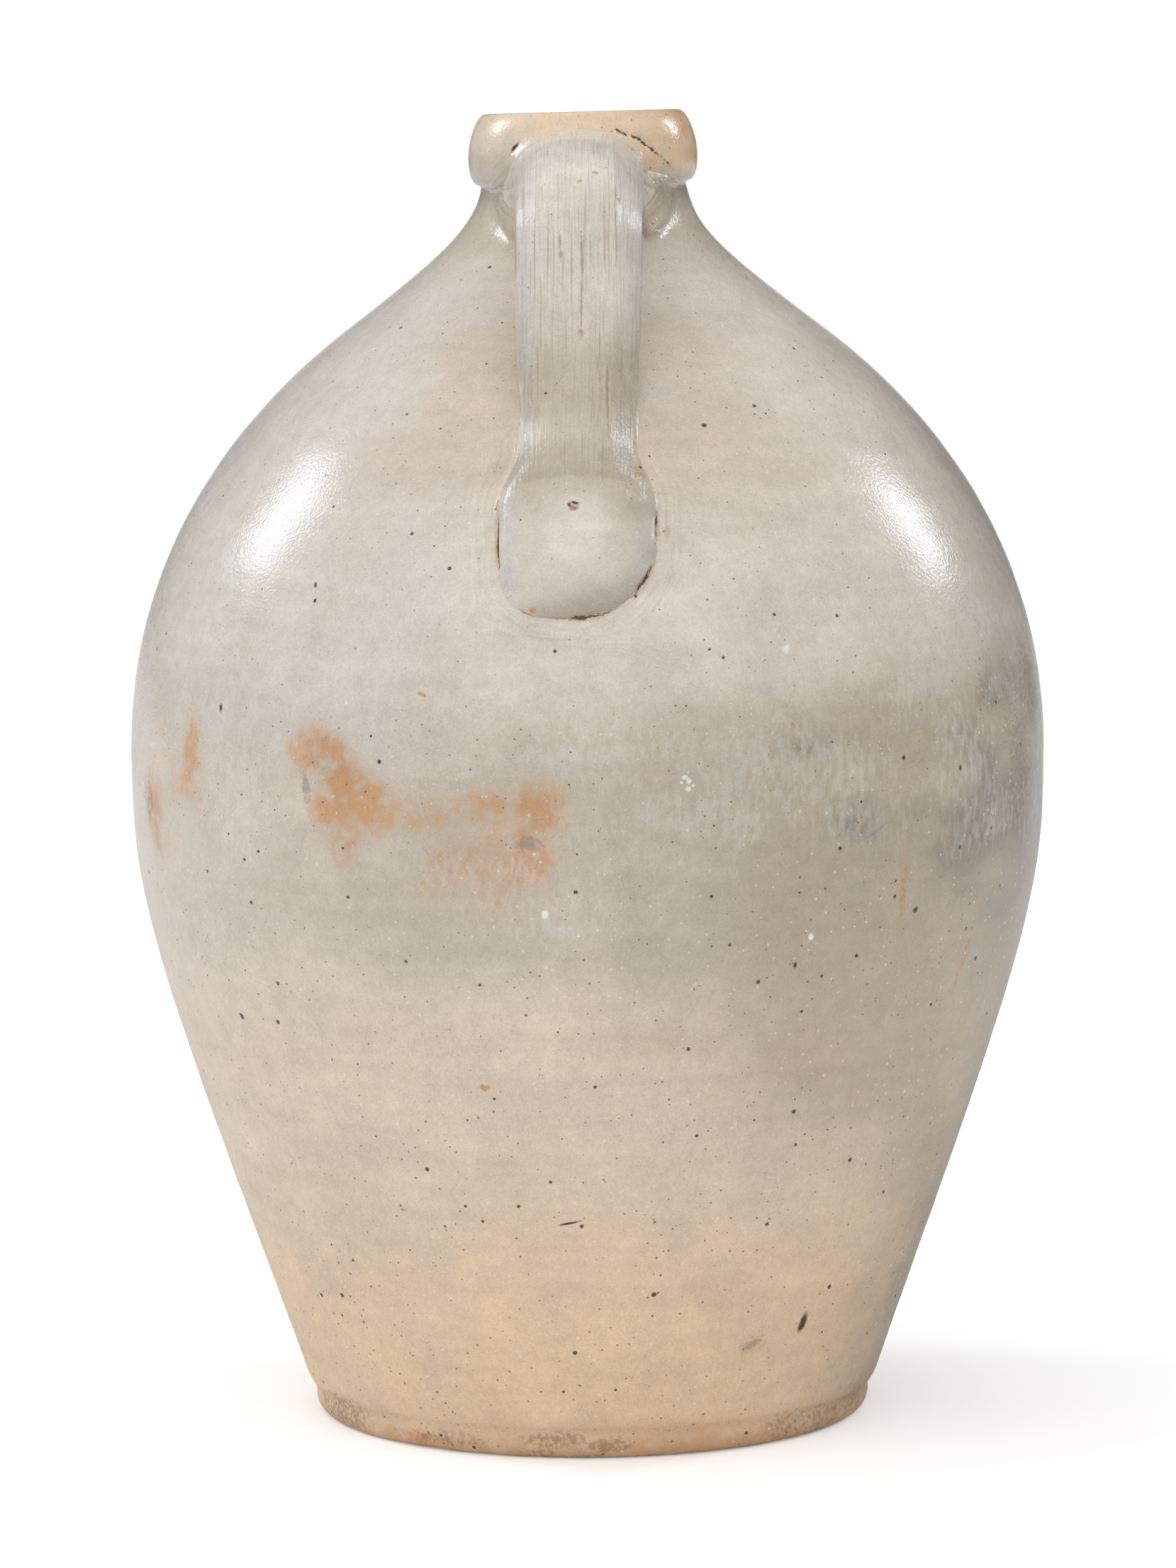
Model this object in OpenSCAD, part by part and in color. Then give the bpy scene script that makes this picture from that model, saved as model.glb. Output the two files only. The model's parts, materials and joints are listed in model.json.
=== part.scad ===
// Ovoid stoneware jug: a thrown body, a thick collar that leans a little, and a pulled strap handle
// that runs from the collar to a round lug on the shoulder. It is one piece of fired clay.
// Lengths are in millimetres and angles in degrees. The base stands on the floor at z = 0, the
// body's axis is Z, and the handle is on the -Y side.

/* [Foot] */
// Radius of the flat base where it meets the floor
base_r = 71.5; // [60:0.5:73]
// Radius of the foot band
foot_r = 75.3; // [74.5:0.1:76]
// Height of the foot band
foot_h = 6.6; // [5:0.2:9]
// Width of the tooled line above the foot band
line_w = 1.6; // [0.8:0.1:2.4]
// Depth of the tooled line above the foot band
line_depth = 0.7; // [0.3:0.1:1.2]

/* [Body] */
// Radius of the body just above the tooled line
heel_r = 76.6; // [76:0.1:82]
// Slope of the wall above the foot
heel_slope = 70.4; // [66:0.2:74]
// How full the wall is between the foot and the belly
lower_fullness = 0.94; // [0.7:0.02:1]
// Radius of the belly, the widest place
belly_r = 123; // [116:0.5:130]
// Height of the belly
belly_z = 180; // [165:1:195]
// How full the shoulder is
shoulder_fullness = 0.65; // [0.55:0.01:0.75]
// Radius where the shoulder turns into the neck
turn_r = 64.5; // [60:0.5:69]
// Height where the shoulder turns into the neck
turn_z = 292; // [286:0.5:297]
// Slope of the shoulder where it turns into the neck
turn_slope = 37.2; // [34:0.2:41]
// How tight the curve of the neck is
neck_fullness = 0.87; // [0.6:0.01:0.95]
// Radius of the neck in the groove under the collar
neck_r = 27.2; // [25:0.1:28]
// Height of the groove under the collar
groove_z = 330.5; // [326:0.5:338]
// How far the collar's flat underside stands out of the groove
groove_depth = 0.8; // [0.5:0.1:1.5]
// Lean of the neck below the groove, away from upright
neck_lean = 13; // [8:0.5:20]

/* [Wall] */
// Thickness of the wall
wall_t = 9; // [6:0.5:11]
// Thickness of the floor
floor_t = 11; // [8:0.5:14]
// Radius of the hollow's rounded bottom corner
corner_r = 14; // [8:1:20]

/* [Collar] */
// Height of the collar above the groove
collar_h = 19.5; // [16:0.5:24]
// Radius of the collar at its fullest
collar_r = 30.6; // [29.5:0.1:33]
// Height of the collar's fullest place above the groove
collar_full_z = 7.5; // [6:0.5:9]
// Radius of the flat on top of the lip
lip_r = 25.7; // [23:0.1:27]
// How far the lip leans, with its +X side high
lip_tilt = 1.1; // [0.5:0.1:2]
// Radius of the bore that takes the cork
bore_r = 15; // [13:0.5:16]
// Radius of the rounded edge at the mouth
mouth_round = 2.4; // [1:0.2:4]

/* [Handle] */
// Width of the strap where it leaves the collar
root_w = 37; // [34:0.5:40]
// Width of the strap at its bend
bend_w = 33.5; // [30:0.5:36]
// Width of the strap just above the lug
tail_w = 28.8; // [26:0.2:32]
// Height of the strap's crowned face above its edges at the collar
root_crown = 10.5; // [8:0.5:12]
// Height of the strap's crowned face above its edges from the bend down
strap_crown = 7.5; // [5:0.5:9]
// Thickness of the strap behind its edges at the collar
root_back = 6.5; // [5:0.5:8]
// Thickness of the strap behind its edges from the bend down
strap_back = 3; // [2:0.5:4]
// Drop from the lip to the top of the strap
strap_drop = 5; // [4:0.5:7]
// Room for the fingers between the neck and the strap
finger_room = 44; // [36:1:52]
// Height of the bend above the floor
bend_z = 314; // [310:1:320]
// Slope of the strap below its bend
strap_slope = 80; // [77:1:84]
// Rise of the strap as it leaves the collar
root_rise = 2; // [0:0.5:8]
// How far the top of the handle sits to one side
root_shift = -1.6; // [-3:0.1:3]

/* [Web] */
// Width of the clay web smeared from the strap's underside onto the neck
web_w = 47; // [40:1:50]
// Width of the web where it runs out under the strap
web_end_w = 27; // [20:1:30]
// Thickness of the web inside the neck
web_t = 16; // [12:1:18]
// How far below the groove the web starts inside the neck
web_drop = 12.5; // [10:0.5:15]
// How far the web runs out under the strap, from the neck
web_reach = 24; // [16:1:30]

/* [Lug] */
// Height of the middle of the lug
lug_z = 243; // [238:1:250]
// Width of the lug
lug_w = 39.3; // [35:0.1:44]
// Length of the lug above its middle, measured along the shoulder
lug_up = 26; // [22:1:30]
// Length of the lug below its middle, measured along the shoulder
lug_down = 22; // [18:1:26]
// Height of the lug above the shoulder
lug_crown = 6.5; // [5:0.5:8]
// How far the lug sits to one side
lug_shift = -2.5; // [-5:0.1:5]

/* [Hidden] */

// Facets of a round, and steps along one arc of an outline
$fn = 128;
arc_steps = 16;
edge_steps = 6;
// Rings of the strap on each of its four stretches, and points round its section
ring_steps = 13;
section_points = 24;
// How square the strap's section and the lug's outline are: 2 is an ellipse
squareness = 2.3;

// Fullness of the small rounded edges, and of the roll from the collar's side to the lip
edge_fullness = 0.6;
lip_fullness = 0.46;
// Fullness of the strap's bend, and of its fall from the bend to the shoulder
bend_fullness = 0.62;
fall_fullness = 0.7;

// A place on an outline is [radius, height], and a heading is the direction in which it goes on
upright = 90;
heel = [heel_r, foot_h + line_w];
belly = [belly_r, belly_z];
turn = [turn_r, turn_z];
turn_heading = 180 - turn_slope;
groove = [neck_r, groove_z];
neck_heading = upright + neck_lean;

// The hollow narrows to a throat that is a little smaller than the bore, so the bore cuts it cleanly
throat_step = 3;
throat = [bore_r - throat_step, groove_z];
throat_heading = upright + 2 * neck_lean;
// The neck runs this far into the collar, and the bore starts this far below the groove
neck_overlap = 5;
bore_below = 14;
lip_z = groove_z + collar_h;

clay_grey = "#b9b0a3";
clay_peach = "#d9b48f";

// The unit vector of a heading, and every point of a list but its first
function unit(a) = [cos(a), sin(a)];
function rest(list) = [for (i = [1 : len(list) - 1]) list[i]];

// A smooth arc from p, which it leaves with heading a, to q, which it reaches with heading b. It is
// a cubic curve whose two handles point at the corner where the headings meet. The fullness says
// how much of the way to that corner they reach.
function arc(p, a, q, b, fullness, steps = arc_steps) =
    let (
        corner = p + unit(a) * cross(q - p, unit(b)) / cross(unit(a), unit(b)),
        p1 = p + (corner - p) * fullness,
        q1 = q + (corner - q) * fullness
    )
    [for (i = [0 : steps])
        let (t = i / steps, s = 1 - t)
        p * s ^ 3 + p1 * 3 * s ^ 2 * t + q1 * 3 * s * t ^ 2 + q * t ^ 3];

// A place moved by t to the hollow's side of an outline that passes it with heading a
function inward(p, a, t) = p + t * unit(a + 90);

// The wall from a starting place near the foot up to a last place in the neck, moved inwards by t
function wall(t, start, last, last_heading) =
    let (b = inward(belly, upright, t), c = inward(turn, turn_heading, t))
    concat(
        arc(start, heel_slope, b, upright, lower_fullness),
        rest(arc(b, upright, c, turn_heading, shoulder_fullness)),
        rest(arc(c, turn_heading, last, last_heading, neck_fullness))
    );

outer_wall = wall(0, heel, groove, neck_heading);

// The shoulder's radius at height z, read off the outer wall
wall_at = [for (p = outer_wall) [p[1], p[0]]];
function wall_r(z) = lookup(z, wall_at);
// The heading of the shoulder at height z, going down and outwards
function wall_down(z) = atan2(-2, wall_r(z - 1) - wall_r(z + 1));

module thrown_body() {
    foot_edge = arc([base_r, 0], 0, [foot_r, foot_h], upright, edge_fullness, edge_steps);
    tooled_line = [[foot_r - line_depth, foot_h + line_w / 2]];
    neck = [[neck_r, groove_z + neck_overlap], [0, groove_z + neck_overlap]];
    color(clay_grey)
        rotate_extrude() polygon(concat([[0, 0]], foot_edge, tooled_line, outer_wall, neck));
}

// What is leant with the lip, about the middle of the groove
module leant() {
    translate([0, 0, groove_z]) rotate([0, -lip_tilt, 0]) children();
}

// The collar has a narrow flat underside above the groove, and a full side that rolls over to the lip
module collar() {
    under_z = 0.6;
    under_edge = [neck_r + groove_depth, under_z];
    full = [collar_r, collar_full_z];
    under = arc(under_edge, 0, full, upright, edge_fullness, edge_steps);
    side = arc(full, upright, [lip_r, collar_h], 180, lip_fullness);
    color(clay_peach)
        leant() rotate_extrude() polygon(concat([[0, under_z]], under, rest(side), [[0, collar_h]]));
}

// The hollow inside: its corner starts on the floor and joins the wall's inner face
module hollow() {
    heel_in = inward(heel, heel_slope, wall_t);
    start = heel_in + unit(heel_slope) * (floor_t + corner_r - heel_in[1]) / sin(heel_slope);
    corner = arc([start[0] - corner_r, floor_t], 0, start, heel_slope, edge_fullness, edge_steps);
    inner_wall = wall(wall_t, start, throat, throat_heading);
    rotate_extrude() polygon(concat([[0, floor_t]], corner, rest(inner_wall), [[0, throat[1]]]));
}

// The bore for the cork leans with the lip, and its top edge is rounded
module bore() {
    past = 1;
    straight_top = [bore_r, collar_h - mouth_round];
    edge_top = [bore_r + mouth_round, collar_h];
    edge = arc(straight_top, upright, edge_top, 0, edge_fullness, edge_steps);
    leant() {
        translate([0, 0, -bore_below]) cylinder(h = bore_below + collar_h + past, r = bore_r);
        rotate_extrude()
            polygon(concat([[0, straight_top[1]]], edge, [edge_top + [0, past], [0, collar_h + past]]));
    }
}

// One point of a strap's section at angle a: a crowned face in front, and a flatter one behind
function bow(c) = sign(c) * abs(c) ^ (2 / squareness);
function section_point(w, crown, back, a) =
    [w / 2 * bow(cos(a)), (sin(a) > 0 ? crown : back) * bow(sin(a))];

// A strap swept through stations of the form [shift, place, heading, width, crown, back]. The
// place is [distance out from the axis, height], and the crown is on the side away from the jug.
module strap(stations) {
    last = len(stations) - 1;
    points = [for (s = stations, k = [0 : section_points - 1])
        let (
            q = section_point(s[3], s[4], s[5], k * 360 / section_points),
            place = s[1] + q[1] * unit(s[2] + 90)
        )
        [s[0] + q[0], -place[0], place[1]]];
    sides = [for (i = [0 : last - 1], k = [0 : section_points - 1])
        let (
            a = i * section_points + k,
            b = i * section_points + (k + 1) % section_points,
            c = a + section_points,
            d = b + section_points
        )
        each [[a, c, b], [b, c, d]]];
    ends = [
        [for (k = [0 : section_points - 1]) k],
        [for (k = [section_points - 1 : -1 : 0]) last * section_points + k]
    ];
    polyhedron(points, concat(sides, ends));
}

// A value that eases from a to b as t goes from 0 to 1
function ease(a, b, t) = a + (b - a) * t ^ 2 * (3 - 2 * t);
// The heading at place i of a list of places
function heading(path, i) =
    let (d = path[min(i + 1, len(path) - 1)] - path[max(i - 1, 0)])
    atan2(d[1], d[0]);

// The strap starts inside the collar's wall, and its edges lie this deep in the shoulder at the lug
root_depth = 5;
sink = 1;
root = [neck_r - root_depth, lip_z - strap_drop - root_crown];
bend = [neck_r + finger_room + strap_back, bend_z];
function on_shoulder(z) = [wall_r(z), z] - sink * unit(wall_down(z) + 90);
// The height of a place on the shoulder that lies s above the middle of the lug, along the shoulder
function lug_height(s) = lug_z - s * sin(wall_down(lug_z));
land_z = lug_height(lug_up);
// The lug reaches its full width at this part of its upper half, and its lower half is a round
// outline that is followed through nearly a quarter turn
flare_end = 2 / 3;
last_turn = 84;

// The strap goes out of the collar, turns down at the bend, falls to the shoulder and spreads into
// the lug. It has four stretches: out, down, the lug's upper half and the lug's lower half.
module handle() {
    n = ring_steps;
    turned = [for (i = [1 : n]) i * last_turn / n];
    out = arc(root, root_rise, bend, -strap_slope, bend_fullness, n);
    down = arc(bend, -strap_slope, on_shoulder(land_z), wall_down(land_z), fall_fullness, n);
    upper = [for (i = [1 : n]) on_shoulder(lug_height(lug_up * (1 - i / n)))];
    lower = [for (a = turned) on_shoulder(lug_height(-lug_down * bow(sin(a))))];
    path = concat(out, rest(down), upper, lower);
    stations = [for (i = [0 : len(path) - 1])
        let (
            t = i / n,
            closing = t > 3 ? bow(cos(turned[i - 3 * n - 1])) : 1,
            w = t <= 1 ? ease(root_w, bend_w, t)
                : t <= 2 ? ease(bend_w, tail_w, t - 1)
                : ease(tail_w, lug_w, min(1, (t - 2) / flare_end)) * closing,
            crown = t <= 1 ? ease(root_crown, strap_crown, t)
                : ease(strap_crown, lug_crown, min(1, max(0, t - 2))) * closing,
            back = ease(root_back, strap_back, min(1, t))
        )
        [ease(root_shift, lug_shift, t / 4), path[i], heading(path, i), w, crown, back]];
    color(clay_grey) strap(stations);
}

// The web starts inside the neck, rises as it goes out, and thins away into the strap
web_depth = 7;
web_rise = 42;
web_level = 12;
module web() {
    inner = [neck_r - web_depth, groove_z - web_drop];
    outer = [neck_r + web_reach, root[1]];
    path = arc(inner, web_rise, outer, web_level, edge_fullness, ring_steps);
    stations = [for (i = [0 : ring_steps])
        let (t = i / ring_steps, half_t = ease(web_t / 2, strap_back / 2, t))
        [root_shift, path[i], heading(path, i), ease(web_w, web_end_w, t), half_t, half_t]];
    color(clay_grey) strap(stations);
}

module jug() {
    difference() {
        union() {
            thrown_body();
            collar();
            handle();
            web();
        }
        hollow();
        bore();
    }
}

jug();
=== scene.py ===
# %% [markdown]
# # A salt-glazed stoneware jug
# The real jug is one piece of fired clay. A potter threw the egg-shaped body and its collar on a wheel,
# pulled a strap of wet clay for the handle, and smeared its two ends onto the collar and the shoulder.
# Salt thrown into the hot kiln then glazed it. The model holds the exact form, and these cells dress it
# with the surface that the fire and two hundred years gave it. Every length is in millimetres until it
# goes into a mesh, where it becomes metres.

import json
from itertools import product

import bpy
import numpy as np
from mathutils import Matrix, Quaternion, Vector

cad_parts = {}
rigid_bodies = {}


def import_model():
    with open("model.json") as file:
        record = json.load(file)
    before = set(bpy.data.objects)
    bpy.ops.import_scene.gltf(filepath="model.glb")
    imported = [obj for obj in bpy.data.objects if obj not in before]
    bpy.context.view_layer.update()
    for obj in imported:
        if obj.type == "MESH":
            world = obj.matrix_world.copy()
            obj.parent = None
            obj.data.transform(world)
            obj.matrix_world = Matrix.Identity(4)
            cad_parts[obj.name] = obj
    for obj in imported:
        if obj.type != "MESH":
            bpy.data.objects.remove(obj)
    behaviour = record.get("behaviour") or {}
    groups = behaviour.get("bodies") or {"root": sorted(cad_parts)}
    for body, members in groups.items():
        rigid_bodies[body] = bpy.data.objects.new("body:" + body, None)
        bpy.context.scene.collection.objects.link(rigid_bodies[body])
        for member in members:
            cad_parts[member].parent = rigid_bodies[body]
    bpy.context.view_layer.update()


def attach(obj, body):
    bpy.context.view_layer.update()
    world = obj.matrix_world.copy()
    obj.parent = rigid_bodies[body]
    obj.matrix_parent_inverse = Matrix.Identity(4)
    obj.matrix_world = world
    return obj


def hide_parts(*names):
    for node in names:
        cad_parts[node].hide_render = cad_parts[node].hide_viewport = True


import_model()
MM = 0.001

# %% [markdown]
# ## The camera
# The photograph was taken with a long lens, level with the lip, and it looks a little downwards. The
# distance and the focal length come from how much the near edge of the foot curves. The picture leans
# by under half a degree, so the camera turns about its own axis by as much. A place in the picture can
# be turned back into a ray, and later that puts each mark of the real jug on the modelled one.

# %% The camera
PHOTO_SIZE = np.array([1659, 2212])
FOCAL_PX = 8831
SENSOR = 36
CAMERA_AT = np.array([0, -1680, 350.0])
AIMED_AT = np.array([0, 0, 169.5])
PICTURE_LEAN = 0.42

lens = bpy.data.cameras.new("camera")
lens.sensor_width = SENSOR
lens.lens = SENSOR * FOCAL_PX / PHOTO_SIZE[1]
camera = bpy.data.objects.new("camera", lens)
bpy.context.scene.collection.objects.link(camera)
camera.location = Vector(CAMERA_AT * MM)
level = Vector(AIMED_AT - CAMERA_AT).to_track_quat("-Z", "Y")
turned = level @ Quaternion((0, 0, 1), -np.radians(PICTURE_LEAN))
camera.rotation_mode = "QUATERNION"
camera.rotation_quaternion = turned
bpy.context.scene.camera = camera
print("lens in mm:", round(lens.lens, 1))


def picture_rays(px, py):
    """The directions of the rays through places of the photograph: across and up the picture by the
    place's distance from its middle, and forwards by the focal length, turned as the camera is."""
    across, down = px - PHOTO_SIZE[0] / 2, py - PHOTO_SIZE[1] / 2
    local = np.stack([across, -down, np.full(np.shape(px), -FOCAL_PX, float)], axis=-1)
    rays = local @ np.array(turned.to_matrix()).T
    return rays / np.linalg.norm(rays, axis=-1, keepdims=True)


# %% [markdown]
# ## The light
# Two upright softboxes stood above and a little behind the jug, one at each side: their reflections are
# the bright patches on the shoulder. Everything else was lit by the room, bright in front, above and
# behind, and dimmer at the sides, most of all on the right. That is why the jug's edges don't glow. A
# picture of a studio could be wrapped round the scene, but a few nodes that know the direction give the
# same light with nothing to load. The floor is white too. Seen by the camera it shines a little by
# itself, so that it melts into the background, and it still keeps the soft shadow round the foot.

# %% A small helper that adds one node
def node(tree, kind, inputs=(), **settings):
    """Adds one node, sets its properties, and fills its inputs from a dict of socket: value. The kind
    is Blender's name without the ShaderNode that all of them start with. A value is a number or
    colour, an output of another node, or another node, whose first output is taken."""
    made = tree.nodes.new("ShaderNode" + kind)
    for name, value in settings.items():
        setattr(made, name, value)
    for socket, value in dict(inputs).items():
        value = value.outputs[0] if isinstance(value, bpy.types.Node) else value
        if isinstance(value, bpy.types.NodeSocket):
            tree.links.new(value, made.inputs[socket])
        else:
            made.inputs[socket].default_value = value
    return made


def linear(code):
    """The linear colour of an sRGB hex code such as c9bfb0."""
    srgb = np.array([int(code[i:i + 2], 16) for i in (0, 2, 4)]) / 255
    flat = np.where(srgb <= 0.04045, srgb / 12.92, ((srgb + 0.055) / 1.055) ** 2.4)
    return (*flat, 1.0)


print("mid grey 808080 as linear light:", round(linear("808080")[0], 3))

# %% The room
# Strengths: the light on the jug, the white that the camera sees, and the share left on each side wall
ROOM_LEVEL, SHOWN_WHITE = 1.14, 1.0
LEFT_WALL, RIGHT_WALL = 0.24, 0.05
FRONT_UP = (-0.08, -0.38, 0.92)     # where the room is brightest: overhead and a little in front
SIDES_FROM = 0.7                    # how far sideways a direction points where the walls are reached
BACKDROP_FROM = 0.975               # how straight back a direction points where the backdrop begins

world = bpy.data.worlds.new("white_room")
bpy.context.scene.world = world
world.use_nodes = True
sky = world.node_tree
sky.nodes.clear()
path = node(sky, "LightPath")
shown = node(sky, "Math", {0: path.outputs["Is Glossy Ray"], 1: path.outputs["Is Transmission Ray"]},
             operation="MAXIMUM")
shown = node(sky, "Math", {0: shown, 1: path.outputs["Is Camera Ray"]}, operation="MAXIMUM")
white = node(sky, "MapRange", {"Value": shown, "To Min": ROOM_LEVEL, "To Max": SHOWN_WHITE})
towards = node(sky, "TexCoord").outputs["Generated"]
axes = node(sky, "SeparateXYZ", {0: towards})
walls = node(sky, "MapRange", {"Value": axes.outputs["X"], "From Min": -SIDES_FROM,
                               "From Max": SIDES_FROM, "To Min": LEFT_WALL, "To Max": RIGHT_WALL})
backdrop = node(sky, "MapRange", {"Value": axes.outputs["Y"], "From Min": BACKDROP_FROM,
                                  "From Max": 1.0}, interpolation_type="SMOOTHSTEP")
ahead = node(sky, "VectorMath", {0: towards, 1: FRONT_UP}, operation="DOT_PRODUCT")
front = node(sky, "MapRange", {"Value": ahead.outputs["Value"], "From Min": 0.0, "From Max": 0.9},
             interpolation_type="SMOOTHSTEP")
bright = node(sky, "Math", {0: backdrop, 1: front}, operation="MAXIMUM")
bright = node(sky, "Math", {0: bright, 1: path.outputs["Is Camera Ray"]}, operation="MAXIMUM")
lit = node(sky, "MapRange", {"Value": bright, "To Min": walls})
strength = node(sky, "Math", {0: white, 1: lit}, operation="MULTIPLY")
room = node(sky, "Background", {"Color": (1, 1, 1, 1), "Strength": strength})
node(sky, "OutputWorld", {"Surface": room})
print("nodes of the room:", len(sky.nodes))

# %% The softboxes and the floor
LAMP_TINT = linear("e3ebf8")[:3]
LAMP_AWAY = 2280


def softbox(name, direction, distance, width, height, watts):
    """A lamp as wide and high as given, placed along a direction from the belly and turned to it."""
    lamp = bpy.data.lights.new(name, "AREA")
    lamp.shape = "RECTANGLE"
    lamp.size = width * MM
    lamp.size_y = height * MM
    lamp.energy = watts
    lamp.color = LAMP_TINT
    lit = bpy.data.objects.new(name, lamp)
    bpy.context.scene.collection.objects.link(lit)
    away = Vector(direction).normalized()
    lit.location = away * distance * MM + Vector(AIMED_AT) * MM
    lit.rotation_mode = "QUATERNION"
    lit.rotation_quaternion = away.to_track_quat("Z", "Y")
    return lit


lamps = [softbox("left_softbox", (-0.794, 0.287, 0.534), LAMP_AWAY, 470, 680, 11),
         softbox("right_softbox", (0.801, 0.377, 0.465), LAMP_AWAY, 350, 620, 8.8)]
print("lamps at, in m:", [[round(v, 2) for v in lamp.location] for lamp in lamps])

FLOOR_HALF = 6000
FLOOR_GLOW = 0.28
floor_mesh = bpy.data.meshes.new("floor")
corners = np.array([(-1, -1, 0), (1, -1, 0), (1, 1, 0), (-1, 1, 0)]) * FLOOR_HALF * MM
floor_mesh.from_pydata(corners.tolist(), [], [(0, 1, 2, 3)])
floor = bpy.data.objects.new("floor", floor_mesh)
bpy.context.scene.collection.objects.link(floor)
paper = bpy.data.materials.new("white_paper")
paper.use_nodes = True
tree = paper.node_tree
tree.nodes.clear()
matt = node(tree, "BsdfDiffuse", {"Color": linear("f4f4f4")})
seen = node(tree, "LightPath").outputs["Is Camera Ray"]
seen = node(tree, "Math", {0: seen, 1: FLOOR_GLOW}, operation="MULTIPLY")
glow = node(tree, "Emission", {"Color": (1, 1, 1, 1), "Strength": seen})
both = node(tree, "AddShader", {0: matt, 1: glow})
node(tree, "OutputMaterial", {"Surface": both})
floor_mesh.materials.append(paper)
print("floor in m, from edge to edge:", 2 * FLOOR_HALF * MM)

# %% [markdown]
# ## Curves with two handles
# Every outline of this jug is a few smooth arcs. An arc leaves one place with one heading and reaches
# the next with another, and a fullness says how far its handles reach towards the corner where the two
# headings meet. That is how a potter thinks of it as well: a foot, a belly, a shoulder, and how full
# the wall is between them.

# %% Headings, arcs and resampling
def unit(heading):
    """The unit vector of a heading in degrees."""
    return np.array([np.cos(np.radians(heading)), np.sin(np.radians(heading))])


def cross(a, b):
    """The flat cross product of two vectors."""
    return a[0] * b[1] - a[1] * b[0]


def arc(p, a, q, b, fullness, steps=64):
    """A cubic curve from p with heading a to q with heading b. Its handles reach towards the corner of
    the two headings by the fullness, and its points are the usual weights of a cubic Bezier curve."""
    p, q = np.array(p, float), np.array(q, float)
    corner = p + unit(a) * cross(q - p, unit(b)) / cross(unit(a), unit(b))
    p1, q1 = p + (corner - p) * fullness, q + (corner - q) * fullness
    t = np.linspace(0, 1, steps + 1)[:, None]
    s = 1 - t
    return p * s ** 3 + p1 * 3 * s ** 2 * t + q1 * 3 * s * t ** 2 + q * t ** 3


def resample(points, spacing):
    """Points at even steps of about the given spacing along a line of points, with both ends kept."""
    along = np.concatenate([[0], np.cumsum(np.linalg.norm(np.diff(points, axis=0), axis=1))])
    count = max(2, int(np.ceil(along[-1] / spacing)) + 1)
    even = np.linspace(0, along[-1], count)
    return np.stack([np.interp(even, along, points[:, i]) for i in range(points.shape[1])], axis=1)


def smooth(low, high, x):
    """An eased step: 0 below low, 1 above high, and 3t^2 - 2t^3 between them."""
    t = np.clip((x - low) / (high - low), 0, 1)
    return t * t * (3 - 2 * t)


def bump(x, middle, half):
    """A soft bump of height 1 at the middle, a bell curve that is e^-1 at half to either side."""
    return np.exp(-((x - middle) / half) ** 2)


def lattice_noise(points, cell, seed):
    """Smooth noise from -1 to 1. Each corner of a lattice of cubes holds a hashed value, and a place
    takes the mean of the eight corners round it, weighted by eased distances."""
    scaled = np.asarray(points) / cell
    low = np.floor(scaled).astype(np.int64)
    part = scaled - low
    part = part * part * (3 - 2 * part)
    total = np.zeros(scaled.shape[:-1])
    for corner in product((0, 1), repeat=3):
        place = low + corner
        mixed = place[..., 0] * 73856093 ^ place[..., 1] * 19349663
        mixed = mixed ^ place[..., 2] * 83492791 ^ seed * 7919
        mixed = (mixed ^ (mixed >> 13)) * 1274126177 & 0x7FFFFFFF
        mixed = (mixed ^ (mixed >> 15)) * 668265263 & 0x7FFFFFFF
        weight = np.prod(np.where(corner, part, 1 - part), axis=-1)
        total += weight * (mixed / 0x3FFFFFFF - 1)
    return total


def rough_noise(points, cell, seed, octaves=3):
    """Lattice noise with finer and fainter layers added, each half as large and half as strong."""
    layers = [lattice_noise(points, cell / 2 ** i, seed + i) / 2 ** i for i in range(octaves)]
    return np.sum(layers, axis=0) / 1.5


print("the middle of an arc from (0, 0) going right to (1, 1) going up:",
      arc([0, 0], 0, [1, 1], 90, 0.6)[32].round(2))

# %% [markdown]
# ## The thrown body
# A thrown pot is a turned profile that no hand keeps quite true. The profile here goes from the middle
# of the underside out over the foot, up the wall, over the collar and the lip, down the bore and along
# the inside to the middle of the floor. It could be spun round the axis with a Screw modifier, but a
# grid worked out as an array can also be dented, leant and joined to the handle place by place. So a
# grid carries it round as one closed skin, whose columns stand closer together in front, under the
# handle, where the finest forms are.

# %% The jug's measures
# R is a radius from the axis, Z a height above the table, H a height, W a width and T a thickness. A
# heading is in degrees, 0 outwards and 90 upwards, and the last lines say how full the arcs are
BASE_R, FOOT_R, FOOT_H = 71.5, 75.3, 6.6
LINE_W, LINE_DEPTH = 1.6, 0.7
HEEL_R, HEEL_SLOPE = 76.6, 70.4
BELLY_R, BELLY_Z = 123.0, 180.0
TURN_R, TURN_Z, TURN_HEADING = 64.5, 292.0, 142.8
NECK_R, GROOVE_Z, NECK_HEADING = 27.2, 330.5, 103.0
COLLAR_R, COLLAR_FULL_Z, COLLAR_H = 30.6, 7.5, 19.5
UNDER_Z, UNDER_STEP = 0.6, 0.8
LIP_R, BORE_R, MOUTH_ROUND, BORE_END_Z = 25.7, 15.0, 2.4, 324.5
WALL_T, FLOOR_T, CORNER_R = 9.0, 11.0, 14.0
LIP_TILT, THROAT_HEADING = 1.1, 116
LIP_Z = GROOVE_Z + COLLAR_H
BELLY_FULL, SHOULDER_FULL, NECK_FULL = 0.94, 0.65, 0.87
COLLAR_FULL, CORNER_FULL = 0.46, 0.6


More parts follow.
